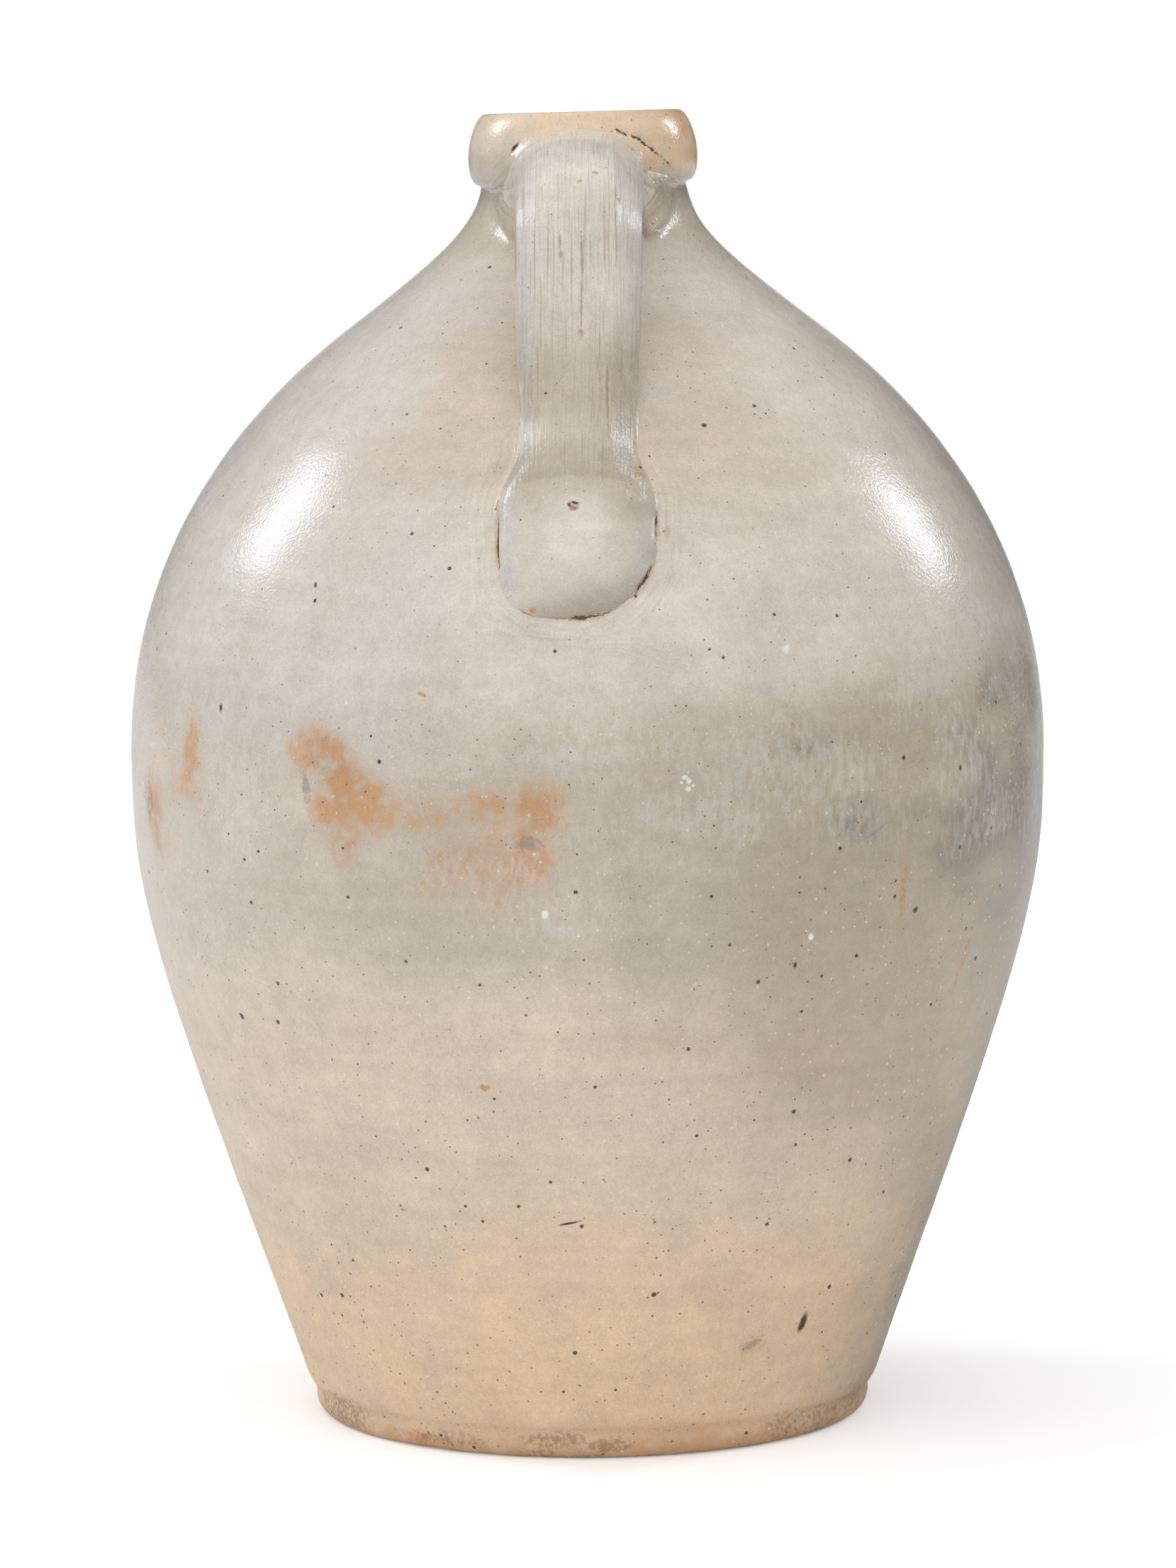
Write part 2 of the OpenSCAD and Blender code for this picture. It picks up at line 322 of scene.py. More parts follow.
def wall_arcs(offset, start, last, last_heading):
    """The wall as three arcs, foot to belly to turn to neck, moved towards the hollow by the offset."""
    belly = np.array([BELLY_R - offset, BELLY_Z])
    turn = np.array([TURN_R, TURN_Z]) + offset * unit(TURN_HEADING + 90)
    return [arc(start, HEEL_SLOPE, belly, 90, BELLY_FULL),
            arc(belly, 90, turn, TURN_HEADING, SHOULDER_FULL),
            arc(turn, TURN_HEADING, last, last_heading, NECK_FULL)]


heel = np.array([HEEL_R, FOOT_H + LINE_W])
groove = np.array([NECK_R, GROOVE_Z])
outer = np.vstack(wall_arcs(0, heel, groove, NECK_HEADING))
heel_in = heel + WALL_T * unit(HEEL_SLOPE + 90)
climb = FLOOR_T + CORNER_R - heel_in[1]
inner_start = heel_in + unit(HEEL_SLOPE) * climb / np.sin(np.radians(HEEL_SLOPE))
corner = arc([inner_start[0] - CORNER_R, FLOOR_T], 0, inner_start, HEEL_SLOPE, CORNER_FULL)
inner = np.vstack([corner, *wall_arcs(WALL_T, inner_start, [BORE_R - 3, GROOVE_Z], THROAT_HEADING)])
inner = inner[:np.argmax((inner[:, 1] > BELLY_Z) & (inner[:, 0] < BORE_R))]
slices = np.pi * ((inner[1:, 0] + inner[:-1, 0]) / 2) ** 2 * np.diff(inner[:, 1])
print("the hollow holds up to the throat, in litres:", round(slices.sum() / 1e6, 2))


def wall_radius(z):
    """The outside radius of the wall at a height, read off the outer arcs."""
    return np.interp(z, outer[:, 1], outer[:, 0])


def band(low, high):
    """The part of the outer wall between two heights, with its ends exact."""
    heights = outer[(outer[:, 1] > low) & (outer[:, 1] < high), 1]
    heights = np.concatenate([[low], heights, [high]])
    return np.stack([wall_radius(heights), heights], axis=1)


# %% The profile, in stretches with their own spacing
collar_under = arc([NECK_R + UNDER_STEP, GROOVE_Z + UNDER_Z], 0,
                   [COLLAR_R, GROOVE_Z + COLLAR_FULL_Z], 90, CORNER_FULL)
collar_side = arc([COLLAR_R, GROOVE_Z + COLLAR_FULL_Z], 90, [LIP_R, LIP_Z], 180, COLLAR_FULL)
mouth_edge = arc([BORE_R + MOUTH_ROUND, LIP_Z], 180, [BORE_R, LIP_Z - MOUTH_ROUND], -90, CORNER_FULL)
foot_edge = arc([BASE_R, 0], 0, [FOOT_R, FOOT_H], 90, CORNER_FULL)


def whole_radius(z):
    """The outside radius of the body and its collar at a height."""
    return np.interp(z, np.concatenate([outer[:, 1], collar_under[:, 1], collar_side[1:, 1]]),
                     np.concatenate([outer[:, 0], collar_under[:, 0], collar_side[1:, 0]]))


# Each stretch with the spacing of its rows: fine where the strap joins, coarse where nothing happens
stretches = [
    ([[0, 0], [BASE_R, 0]], 8), (foot_edge, 0.8), ([[FOOT_R, FOOT_H], heel], 0.4),
    (band(heel[1], 30), 1.6), (band(30, 100), 3.6), (band(100, 215), 2.8), (band(215, 272), 1.25),
    (band(272, GROOVE_Z), 1.5), ([groove, collar_under[0]], 0.4), (collar_under, 0.7),
    (collar_side, 0.75), ([[LIP_R, LIP_Z], [BORE_R + MOUTH_ROUND, LIP_Z]], 1.4), (mouth_edge, 0.7),
    ([[BORE_R, LIP_Z - MOUTH_ROUND], [BORE_R, BORE_END_Z], inner[-1]], 1.8), (inner[::-1], 10),
    ([inner[0], [0, FLOOR_T]], 12),
]
LAST_OUTSIDE = 11
rows = [resample(np.array(points, float), spacing) for points, spacing in stretches]
profile = np.vstack([rows[0]] + [r[1:] for r in rows[1:]])
outside_rows = sum(len(r) - 1 for r in rows[:LAST_OUTSIDE]) + 1
print("rows of the body:", len(profile), "of which outside:", outside_rows)

# %% [markdown]
# ## From a profile to a skin
# A grid of places is rows times columns. The first and last rows are a single place each, so that the
# skin closes there like the two ends of an orange. The wheel leaves faint rings, a wall that leans in
# and out by a few tenths of a millimetre, and a foot that was cut from the wheelhead by hand.

# %% Grids into closed meshes
def leant(points, amount):
    """Places leant with the lip: turned about the Y axis through the middle of the groove, by the tilt
    times an amount from 0 to 1, with the +X side going up."""
    angle = np.radians(LIP_TILT) * amount
    x, z = points[..., 0], points[..., 2] - GROOVE_Z
    moved = points.copy()
    moved[..., 0] = x * np.cos(angle) - z * np.sin(angle)
    moved[..., 2] = x * np.sin(angle) + z * np.cos(angle) + GROOVE_Z
    return moved


def grid_normals(grid):
    """The outward unit normals of a grid whose columns close into a ring: the step across the columns
    times the step along the rows."""
    across = np.roll(grid, -1, axis=1) - np.roll(grid, 1, axis=1)
    normals = np.cross(across, np.gradient(grid, axis=0))
    return normals / np.maximum(np.linalg.norm(normals, axis=-1, keepdims=True), 1e-9)


def skin(name, grid):
    """A closed mesh over a grid: one place for each end row, triangles next to it and quads between."""
    count, columns = grid.shape[:2]
    places = np.vstack([grid[:1, 0], grid[1:-1].reshape(-1, 3), grid[-1:, 0]])
    ring = np.arange(columns)
    following = np.roll(ring, -1)
    start = 1 + columns * np.arange(count - 3)[:, None]
    above = start + columns
    quads = np.stack([start + ring, start + following, above + following, above + ring], axis=-1)
    quads = quads.reshape(-1, 4)
    last = 1 + columns * (count - 3)
    first_fan = np.stack([np.zeros_like(ring), 1 + following, 1 + ring], axis=1)
    last_fan = np.stack([last + ring, last + following, np.full_like(ring, len(places) - 1)], axis=1)
    mesh = bpy.data.meshes.new(name)
    faces = first_fan.tolist() + quads.tolist() + last_fan.tolist()
    mesh.from_pydata((places * MM).tolist(), [], faces)
    mesh.polygons.foreach_set("use_smooth", np.ones(len(mesh.polygons), bool))
    made = bpy.data.objects.new(name, mesh)
    bpy.context.scene.collection.objects.link(made)
    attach(made, "root")
    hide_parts("jug")
    print(name, "triangles:", 2 * len(quads) + 2 * columns)
    return made


def note(piece, name, grid):
    """Stores one number for each place of a grid as an attribute of the piece's mesh."""
    values = np.concatenate([grid[0, :1], grid[1:-1].ravel(), grid[-1, :1]])
    stored = piece.data.attributes.new(name, "FLOAT", "POINT")
    stored.data.foreach_set("value", values.astype(np.float32))


print("the lip's right side stands higher than its left in mm:",
      round(2 * LIP_R * np.sin(np.radians(LIP_TILT)), 2))

# %% [markdown]
# Under the collar the potter dragged clay sideways from the handle onto the neck. A separate lump could
# be sculpted there, but it would leave a seam, so the neck's own places are pushed out instead.

# %% The clay smeared onto the neck
# How thick it is, where its edge lies at one height, how that edge turns as it rises, how softly it
# ends, and how much higher it starts right under the strap
SMEAR_T, SMEAR_LOW, SMEAR_TURN, SMEAR_SPREAD, SMEAR_SOFT = 9.0, 315.5, 34.0, 2.2, 0.8
SMEAR_LIFT = 13.0


def smear_rise(points):
    """How far the clay that was smeared under the collar stands out of the neck. It is thickest under
    the strap and thins out evenly to a line that lies further round the neck the higher up it is.
    Right under the strap it starts higher, behind the web. A soft maximum joins it to the neck."""
    z = points[..., 2]
    turn = np.degrees(np.arctan2(np.abs(points[..., 0] + 1), -points[..., 1]))
    reach = SMEAR_TURN + SMEAR_SPREAD * (np.clip(z, 306, 333) - SMEAR_LOW)
    reach = reach * np.where(points[..., 0] < 0, 0.9, 1)
    lifted = z - SMEAR_LIFT * smooth(32, 18, turn)
    stands = SMEAR_T * smooth(308, 318, lifted) * smooth(341, 331, z) * (1 - turn / reach)
    stands = stands - 14 * (smooth(318, 308, lifted) + smooth(332, 339, z))
    over = wall_radius(np.minimum(z, GROOVE_Z)) + stands - whole_radius(z)
    return (over + np.hypot(over, SMEAR_SOFT)) / 2 * smooth(300, 312, z)


beside_web = np.array([[18.0, -24.0, 322.0]])
print("smeared clay beside the web in mm:", smear_rise(beside_web).round(2))

# %% The body's grid
COLUMNS = 312
CROWDING = 0.6                      # above 0, the columns stand closer together in front
LEAN_FROM, THROAT_LEAN_FROM = 320, 308
share = np.arange(COLUMNS) / COLUMNS
azimuth = 2 * np.pi * share - CROWDING * np.sin(2 * np.pi * share)
radius, height = profile[:, :1], profile[:, 1:]
body = np.stack([radius * np.sin(azimuth), -radius * np.cos(azimuth), height + 0 * azimuth], axis=-1)
row_number = np.arange(len(profile))[:, None]
is_outside = row_number < outside_rows
lean_amount = np.where(is_outside, smooth(LEAN_FROM, GROOVE_Z, height),
                       smooth(THROAT_LEAN_FROM, BORE_END_Z, height))
rising = smear_rise(body) * is_outside / np.maximum(radius, 1)
body[..., :2] += body[..., :2] * rising[..., None]
body = leant(body, lean_amount)
body_normals = grid_normals(body)

RING_DEPTH, WOBBLE, FOOT_WEAR = 0.10, 0.22, 0.35
RING_APART, WOBBLE_CELL, LINE_HALF = 7, 70, 2.2
rings = rough_noise(np.stack([height * np.ones_like(azimuth) + 2 * azimuth / np.pi,
                              0 * height + np.cos(azimuth), 0 * height + np.sin(azimuth)], axis=-1)
                    / [1, 1 / 3, 1 / 3], RING_APART, 11)
wobble = lattice_noise(body, WOBBLE_CELL, 23)
on_wall = smooth(4, 24, height) * smooth(GROOVE_Z, 300, height) * is_outside
sunk = (RING_DEPTH * (1 - rings) + WOBBLE * (1 - wobble)) * on_wall
foot_line = LINE_DEPTH * bump(height, FOOT_H + LINE_W / 2, LINE_HALF) * (0.8 + 0.3 * wobble)
foot_line = foot_line * is_outside
worn = FOOT_WEAR * smooth(3.5, 0, height) * smooth(66, BASE_R, radius)
worn = worn * (1 + rough_noise(body, 5, 31)) / 2
print("body grid:", body.shape, "sinks in mm by up to:", round(sunk.max(), 2))

# %% [markdown]
# ## The pulled strap
# A handle is pulled downwards from a lump of wet clay until it is a long strap, and the fingers leave
# fine ridges along it. Here a section, crowned in front and flatter behind, is carried along the path
# from the collar, over the bend and down to the shoulder. There it spreads into the thumbed lug. At the
# collar the section reaches far down behind, as the clay that was smeared onto the neck to hold it.

# %% The strap's path and its changing section
# Each size has a value at the collar (ROOT), at the BEND, above the shoulder (TAIL) and at the LUG. The
# crown is how far the strap stands out of its path in front, and the back how far behind it
STRAP_DROP, ROOT_CROWN, STRAP_CROWN, LUG_CROWN = 5.6, 10.5, 7.5, 7.2
ROOT_BACK, STRAP_BACK, LUG_BACK, ROOT_DEPTH, SINK = 6.5, 3.0, 6.5, 5.0, 1.0
FINGER_ROOM, BEND_Z, STRAP_SLOPE, ROOT_RISE = 44.0, 314.0, 80.0, 2.0
BEND_FULL, TAIL_FULL = 0.62, 0.7
ROOT_W, BEND_W, TAIL_W, LUG_W = 34.0, 32.6, 28.8, 39.3
ROOT_SHIFT, LUG_SHIFT = -1.3, -2.5
LUG_Z, LUG_UP, LUG_DOWN, FLARE_END = 243.0, 26.0, 22.0, 2 / 3
ROOT_SQUARENESS, SQUARENESS, SQUARE_FROM = 1.8, 2.3, 26.0
LUG_SQUARENESS, LUG_DOME, LUG_FALL, LUG_LEFT, LUG_RIGHT = 2.7, 2.05, 0.42, 0.10, -0.34
WEB_W, WEB_SQUARENESS, WEB_T, WEB_DROP, WEB_REACH = 38.0, 1.6, 16.0, 16.5, 24.0
WEB_DEPTH, WEB_RISE, WEB_LEVEL = 7.0, 47.0, 12.0


def bow(c, squareness):
    """A cosine or sine bent to a squarer outline: its size raised to 2 over the squareness."""
    return np.sign(c) * np.abs(c) ** (2 / squareness)


def ease(a, b, t):
    """A value that eases from a to b as t goes from 0 to 1."""
    return a + (b - a) * smooth(0, 1, t)


def slope_down(z):
    """The heading of the shoulder at a height, going down and outwards."""
    return np.degrees(np.arctan2(-2, wall_radius(z - 1) - wall_radius(z + 1)))


def on_shoulder(z):
    """A place just under the shoulder's skin, given as distance out from the axis and height."""
    down = np.radians(slope_down(z) + 90)
    return np.stack([wall_radius(z) - SINK * np.cos(down), z - SINK * np.sin(down)], axis=-1)


def lug_height(s):
    """The height of a place that lies s above the lug's middle, measured along the shoulder."""
    return LUG_Z - s * np.sin(np.radians(slope_down(LUG_Z)))


root = np.array([NECK_R - ROOT_DEPTH, LIP_Z - STRAP_DROP - ROOT_CROWN])
bend = np.array([NECK_R + FINGER_ROOM + STRAP_BACK, BEND_Z])
land_z = lug_height(LUG_UP)
FINE = 400
leg = np.linspace(0, 1, FINE + 1)
legs = [arc(root, ROOT_RISE, bend, -STRAP_SLOPE, BEND_FULL, FINE),
        arc(bend, -STRAP_SLOPE, on_shoulder(land_z), slope_down(land_z), TAIL_FULL, FINE),
        on_shoulder(lug_height(LUG_UP * (1 - leg))),
        on_shoulder(lug_height(-LUG_DOWN * bow(np.sin(leg * np.pi / 2), LUG_SQUARENESS)))]
route = np.vstack([legs[0]] + [one[1:] for one in legs[1:]])
stage_of = np.arange(len(route)) / FINE
route_along = np.concatenate([[0], np.cumsum(np.linalg.norm(np.diff(route, axis=0), axis=1))])
lug_middle = route_along[3 * FINE]
lug_end = route_along[-1]
print("strap length in mm:", round(lug_end, 1), "lug's middle at:", round(lug_middle, 1))

web_line = arc([NECK_R - WEB_DEPTH, GROOVE_Z - WEB_DROP], WEB_RISE,
               [NECK_R + WEB_REACH, root[1]], WEB_LEVEL, 0.6)
web_half = ease(WEB_T / 2, STRAP_BACK / 2, np.linspace(0, 1, len(web_line)))
web_under = web_line[:, 1] - web_half


def section_at(along):
    """The path and the section's sizes at distances along the strap, read off the fine route: place,
    heading, shift, half width, crown in front, depth behind, how much wider the web is than the
    strap, and how square the outline is in front and behind. Each size eases from its value at one
    place to the next: collar 0, bend 1, landing 2, the lug's middle 3 and its end 4."""
    stage = np.interp(along, route_along, stage_of)
    place = np.stack([np.interp(along, route_along, route[:, i]) for i in (0, 1)], axis=-1)
    ahead = np.stack([np.interp(along + 0.5, route_along, route[:, i]) for i in (0, 1)], axis=-1)
    behind = np.stack([np.interp(along - 0.5, route_along, route[:, i]) for i in (0, 1)], axis=-1)
    heading = np.degrees(np.arctan2(*(ahead - behind)[..., ::-1].T)).T
    width = np.where(stage <= 1, ease(ROOT_W, BEND_W, stage),
                     np.where(stage <= 2, ease(BEND_W, TAIL_W, stage - 1),
                              ease(TAIL_W, LUG_W, (stage - 2) / FLARE_END)))
    crown = np.where(stage <= 1, ease(ROOT_CROWN, STRAP_CROWN, stage),
                     ease(STRAP_CROWN, LUG_CROWN, stage - 2))
    back = ease(ROOT_BACK, STRAP_BACK, stage)
    web = place[..., 1] - np.interp(place[..., 0], web_line[:, 0], web_under, right=1e3)
    back = np.where(stage < 1, np.logaddexp(back, web),
                    back + ease(0, LUG_BACK - STRAP_BACK, (stage - 2) * 2))
    at_neck = smooth(web_line[0, 0] + WEB_REACH, web_line[0, 0], place[..., 0])
    web_side = (WEB_W - width) / 2 * at_neck
    shift = ease(ROOT_SHIFT, LUG_SHIFT, stage / 4)
    square = (ease(ROOT_SQUARENESS, SQUARENESS, along / SQUARE_FROM)
              + ease(0, LUG_DOME - SQUARENESS, stage - 2))
    square_back = ease(WEB_SQUARENESS, SQUARENESS, along / SQUARE_FROM)
    return place, heading, shift, width / 2, crown, back, web_side, square, square_back


def half_width(half, web_side, depth_share):
    """The section's half width: the strap's own in front, and wider behind, most of all at a third of
    the depth, where the clay was dragged out sideways onto the neck."""
    return half + web_side * smooth(-0.1, 0.3, depth_share) * np.clip((1.2 - depth_share) / 0.9, 0, 1)


def lug_side(across, below):
    """How much wider the lug is at a share of the way down to its end than an even one would be: fuller
    at its lower left and cut in at its lower right."""
    return 1 + np.where(across < 0, LUG_LEFT * below ** 3, LUG_RIGHT * below ** 2)


# %% [markdown]
# ## Where clay meets clay
# The strap was smeared onto the body, so the corner between them is a soft fillet, but where the joint
# dried too fast it cracked. A Boolean union would leave a sharp edge, and a remesh of both would lose
# the fine ridges. So each skin has a distance to the other, and near the corner both rise to meet on
# one rounded surface, a smooth minimum of the two distances. Where the joint cracked, the rounding is
# almost nothing and both skins sink a little, which leaves a dark gap.

# %% Distances to the body and to the strap
near_line = resample(np.vstack([outer[outer[:, 1] > 200], collar_under, collar_side[1:],
                                [[BORE_R, LIP_Z]]]), 1.0)


def body_distance(points):
    """The distance of places from the body's outer skin: each place is turned into (radius, height),
    leant back with the lip, and measured to the nearest stretch of the profile."""
    upright = leant(points, -smooth(LEAN_FROM, GROOVE_Z, points[..., 2]))
    flat = np.stack([np.hypot(upright[:, 0], upright[:, 1]), upright[:, 2]], axis=-1)
    best = np.full(len(flat), 1e9)
    for a, d in zip(near_line[:-1], np.diff(near_line, axis=0)):
        t = np.clip(((flat - a) @ d) / (d @ d), 0, 1)
        away = flat - a - t[:, None] * d
        far = np.linalg.norm(away, axis=1)
        outside = away @ np.array([d[1], -d[0]]) >= 0
        best = np.where(far < np.abs(best) - 1e-9, np.where(outside, far, -far), best)
    return best - smear_rise(upright)


COARSE = np.arange(0, lug_end + 0.5, 0.5)
coarse_place = section_at(COARSE)[0]


def strap_coordinates(points):
    """Places in the strap's own terms: across it, out of it, and along it. The nearest place of the
    path is found in the plane of the axis, and past its end the last stretch runs straight on."""
    flat = np.stack([-points[:, 1], points[:, 2]], axis=-1)
    nearest = np.argmin((coarse_place ** 2).sum(axis=-1) - 2 * flat @ coarse_place.T, axis=1)
    along = COARSE[nearest]
    place, heading, shift = section_at(along)[:3]
    ahead = np.stack([np.cos(np.radians(heading)), np.sin(np.radians(heading))], axis=-1)
    up = np.stack([-ahead[:, 1], ahead[:, 0]], axis=-1)
    extra = ((flat - place) * ahead).sum(axis=-1)
    return points[:, 0] - shift, ((flat - place) * up).sum(axis=-1), along + extra


def strap_fullness(across, out, along):
    """How far out a place lies in the strap's section, with 1 on its skin: the squared-off sum of its
    shares of the half width and the height, and below the lug's middle of the lug's length too."""
    half, crown, back, web_side, square, square_back = section_at(np.clip(along, 0, lug_end))[3:]
    below = np.maximum(along - lug_middle, 0) / (lug_end - lug_middle)
    wide = half_width(half, web_side, np.maximum(-out / back, -0.1)) * lug_side(across, below)
    tall = np.where(out > 0, crown, back) * (1 - LUG_FALL * np.minimum(below, 1) ** 2)
    n = np.where(out > 0, square, square_back)
    section = np.maximum(np.abs(across / wide) ** n + np.abs(out / tall) ** n, 1e-9) ** (1 / n)
    return (section ** LUG_SQUARENESS + below ** LUG_SQUARENESS) ** (1 / LUG_SQUARENESS)


def strap_distance(across, out, along):
    """The distance of places from the strap's skin, about: their fullness less 1, over its gradient,
    and at least how far they lie beside it or past its end."""
    here = strap_fullness(across, out, along)
    step = 0.05
    slopes = np.stack([strap_fullness(across + step, out, along) - here,
                       strap_fullness(across, out + step, along) - here,
                       strap_fullness(across, out, along + step) - here], axis=-1) / step
    estimate = (here - 1) / np.maximum(np.linalg.norm(slopes, axis=-1), 1e-3)
    half, _, _, web_side = section_at(np.clip(along, 0, lug_end))[3:7]
    beside = np.abs(across) - (half + web_side) * (1 + LUG_LEFT)
    return np.maximum(estimate, np.maximum(beside, along - lug_end))


def rise_to_meet(places, normals, is_strap):
    """How far a skin rises along its normals to the rounded surface that it shares with the other
    skin, and by how much the other skin is further off there. A place whose other skin is further by
    a lead belongs (roundness - lead)^2 / (4 roundness) outside its own, and this is found by moving
    and measuring again. Past the joint it goes straight on, then sinks away under the other skin."""
    rise, start = np.zeros(len(places)), None
    for _ in range(6):
        moved = places + normals * rise[:, None]
        terms = strap_coordinates(moved)
        own, other = body_distance(moved), strap_distance(*terms)
        if is_strap:
            own, other = other, own
        start = own if start is None else start
        roundness = joint_roundness(*terms)
        own = own - start + np.clip(start, -0.2, 0.2) * smooth(roundness + 2, roundness, other)
        lead = other - own
        rounded = np.maximum(roundness - lead, 0) ** 2 / (4 * roundness)
        onward = np.maximum(roundness / 4 - 0.5 * lead - 0.3 * lead ** 2, -0.6)
        wanted = np.where(lead > 0, rounded, onward)
        rise = np.clip(rise + 0.8 * (wanted - own), -1, 4)
    return rise, lead, crack_amount(terms[0], terms[2])


print("places compared: on the wall", len(near_line), "and on the strap's path", len(COARSE))

# %% How round the joint is, and where it cracked
def joint_angle(across, along):
    """The angle round the lug's middle: 0 at its bottom, positive to the right from the camera."""
    return np.degrees(np.arctan2(across, along - lug_middle))


def plateau(x, low, high, edge):
    """1 between low and high, easing to 0 over an edge outside them."""
    return smooth(low - edge, low, x) * smooth(high + edge, high, x)


# Each crack runs from one angle to another round the lug, and is so wide: left side, right side, lower
# right, bottom, and two fainter ones that lead on from the bottom
LUG_CRACKS = [(-104, -72, 0.9), (94, 106, 0.75), (51, 66, 1.0), (-1, 13, 1.0), (-36, -1, 0.3),
              (13, 45, 0.3)]
CRACK_EDGE = 6
FILLET, WEB_FILLET, BEHIND_FILLET, LUG_FILLET, LEAST_FILLET = 2.4, 1.4, 6.0, 1.6, 0.25


def crack_amount(across, along):
    """How far the joint round the lug cracked at an angle: the largest of its named cracks."""
    angle = joint_angle(across, along)
    near_lug = smooth(lug_middle - 18, lug_middle - 9, along)
    return near_lug * np.max([plateau(angle, low, high, CRACK_EDGE) * much
                              for low, high, much in LUG_CRACKS], axis=0)


def joint_roundness(across, out, along):
    """The size of the fillet: small round the arch on the collar, generous where the clay was smeared
    onto the neck behind it, smaller along the strap, and next to nothing where the joint cracked."""
    at_root = smooth(45, 8, along)
    base = FILLET + at_root * (WEB_FILLET + BEHIND_FILLET * smooth(1, -6, out))
    base = base + LUG_FILLET * smooth(lug_middle, lug_end, along)
    return base * (1 - 0.9 * crack_amount(across, along)) + LEAST_FILLET


print("cracks round the lug:", len(LUG_CRACKS))

# %% The strap's grid
AROUND = 240
ALONG_STEP = 0.55
angle = 2 * np.pi * np.arange(AROUND) / AROUND
closing_steps = np.linspace(0, np.pi / 2, 56)[1:]
closing_part = (lug_end - lug_middle) * bow(np.sin(closing_steps), LUG_SQUARENESS)
stations = np.concatenate([np.arange(0, lug_middle, ALONG_STEP), lug_middle + closing_part])
below = np.maximum(stations - lug_middle, 0) / (lug_end - lug_middle)
closing = (np.maximum(1 - below ** LUG_SQUARENESS, 0) ** (1 / LUG_SQUARENESS))[:, None]
sizes = [v[:, None] for v in section_at(stations)]
place, heading, shift, half, crown, back, web_side, *squares = sizes
place, heading = place[:, 0], heading[:, 0]
front = np.sin(angle) > 0
square = np.where(front, *squares)
tall = np.where(front, crown, back) * (1 - LUG_FALL * below[:, None] ** 2)
out = tall * bow(np.sin(angle), square) * closing
wide = half_width(half, web_side, np.maximum(-out / back, -0.1))
wide = wide * lug_side(np.cos(angle), below[:, None])
across = wide * bow(np.cos(angle), square) * closing

# The right-hand side is bevelled from a ridge to a thin edge, as the side of a thumb leaves it
RIDGE_AT, BEVEL_AMOUNT = 0.58, 0.85
rel = across / (half * np.maximum(closing, 1e-6))
ridge_out = crown * (1 - RIDGE_AT ** SQUARENESS) ** (1 / SQUARENESS) * closing
facet = ridge_out * np.clip((1 - rel) / (1 - RIDGE_AT), 0, 1)
bevel = BEVEL_AMOUNT * smooth(12, 30, stations) * smooth(lug_middle + 8, lug_middle - 14, stations)
bevel = bevel[:, None]
out = np.where(front & (rel > RIDGE_AT), out + (np.minimum(facet, out) - out) * bevel, out)

turned_up = np.radians(heading + 90)[:, None]
strap = np.stack([across + shift, -(place[:, :1] + out * np.cos(turned_up)),
                  place[:, 1:] + out * np.sin(turned_up)], axis=-1)
first = np.broadcast_to(strap[0].mean(axis=0), strap[0].shape)
strap = np.concatenate([first[None], strap])
strap_along = np.concatenate([[0], stations])[:, None] + 0 * angle
strap_across = np.concatenate([across[:1] * 0, across])
strap_out = np.concatenate([out[:1] * 0, out])
strap_normals = grid_normals(strap)
strap_normals[-1] = strap_normals[-2].mean(axis=0)
print("strap grid:", strap.shape)

# %% Both skins rise to meet each other
NEAR, CRACK_DEPTH, CRACK_HALF = 11, 0.55, 0.5


def met(grid, normals, near, is_strap):
    """A grid with its places near the joint raised to the fillet and sunk along the cracks, and two
    numbers for each place: how far the other skin is, and how cracked the joint is there."""
    rise, lead, cracked = rise_to_meet(grid[near], normals[near], is_strap)
    rise = rise - CRACK_DEPTH * cracked * bump(lead, 0, CRACK_HALF)
    raised, far, crack = grid.copy(), np.full(grid.shape[:2], 99.0), np.zeros(grid.shape[:2])
    raised[near] += normals[near] * rise[:, None]
    far[near], crack[near] = lead, cracked
    return raised, far, crack


strap_gap = body_distance(strap.reshape(-1, 3)).reshape(strap.shape[:2])
strap, strap_seam, strap_crack = met(strap, strap_normals, np.abs(strap_gap) < NEAR, True)
near_strap = is_outside & (np.abs(body[..., 0]) < 38) & (body[..., 1] < 0) & (body[..., 2] > 205)
near_strap[near_strap] = np.abs(strap_distance(*strap_coordinates(body[near_strap]))) < NEAR
even_normals = body_normals + np.roll(body_normals, 1, axis=0) + np.roll(body_normals, -1, axis=0)
even_normals /= np.maximum(np.linalg.norm(even_normals, axis=-1, keepdims=True), 1e-9)
body, body_seam, body_crack = met(body, even_normals, near_strap, False)
print("places near the joint:", (np.abs(strap_gap) < NEAR).sum(), near_strap.sum())

# %% The strap's ridges, the lug's thumb marks, and the body's unevenness
PULL_RIDGE, CREASE_DEPTH, HEAP, DIMPLE = 0.09, 0.7, 0.7, 0.22
in_front = smooth(-0.6, 1.5, strap_out) * smooth(0.2, 2.5, strap_seam)
pulled = np.stack([strap_across, strap_along / 26, 0 * strap_across], axis=-1)
ridges = PULL_RIDGE * rough_noise(pulled, 2.2, 41, 3) * smooth(lug_middle, lug_middle - 22, strap_along)
s_up = lug_middle - strap_along
crease_line = 14.5 - (strap_across / 13) ** 2
crease = CREASE_DEPTH * bump(s_up, crease_line, 1.3) - HEAP * bump(s_up, crease_line - 6, 4.5)
crease = crease * smooth(17, 10, np.abs(strap_across))
dimpled = DIMPLE * lattice_noise(strap, 9, 47) * smooth(18, 10, s_up)
strap = strap + strap_normals * ((ridges - crease + dimpled) * in_front)[..., None]
sunk = sunk * smooth(0, 12, body_seam) + foot_line + worn * is_outside
body = body - body_normals * sunk[..., None]
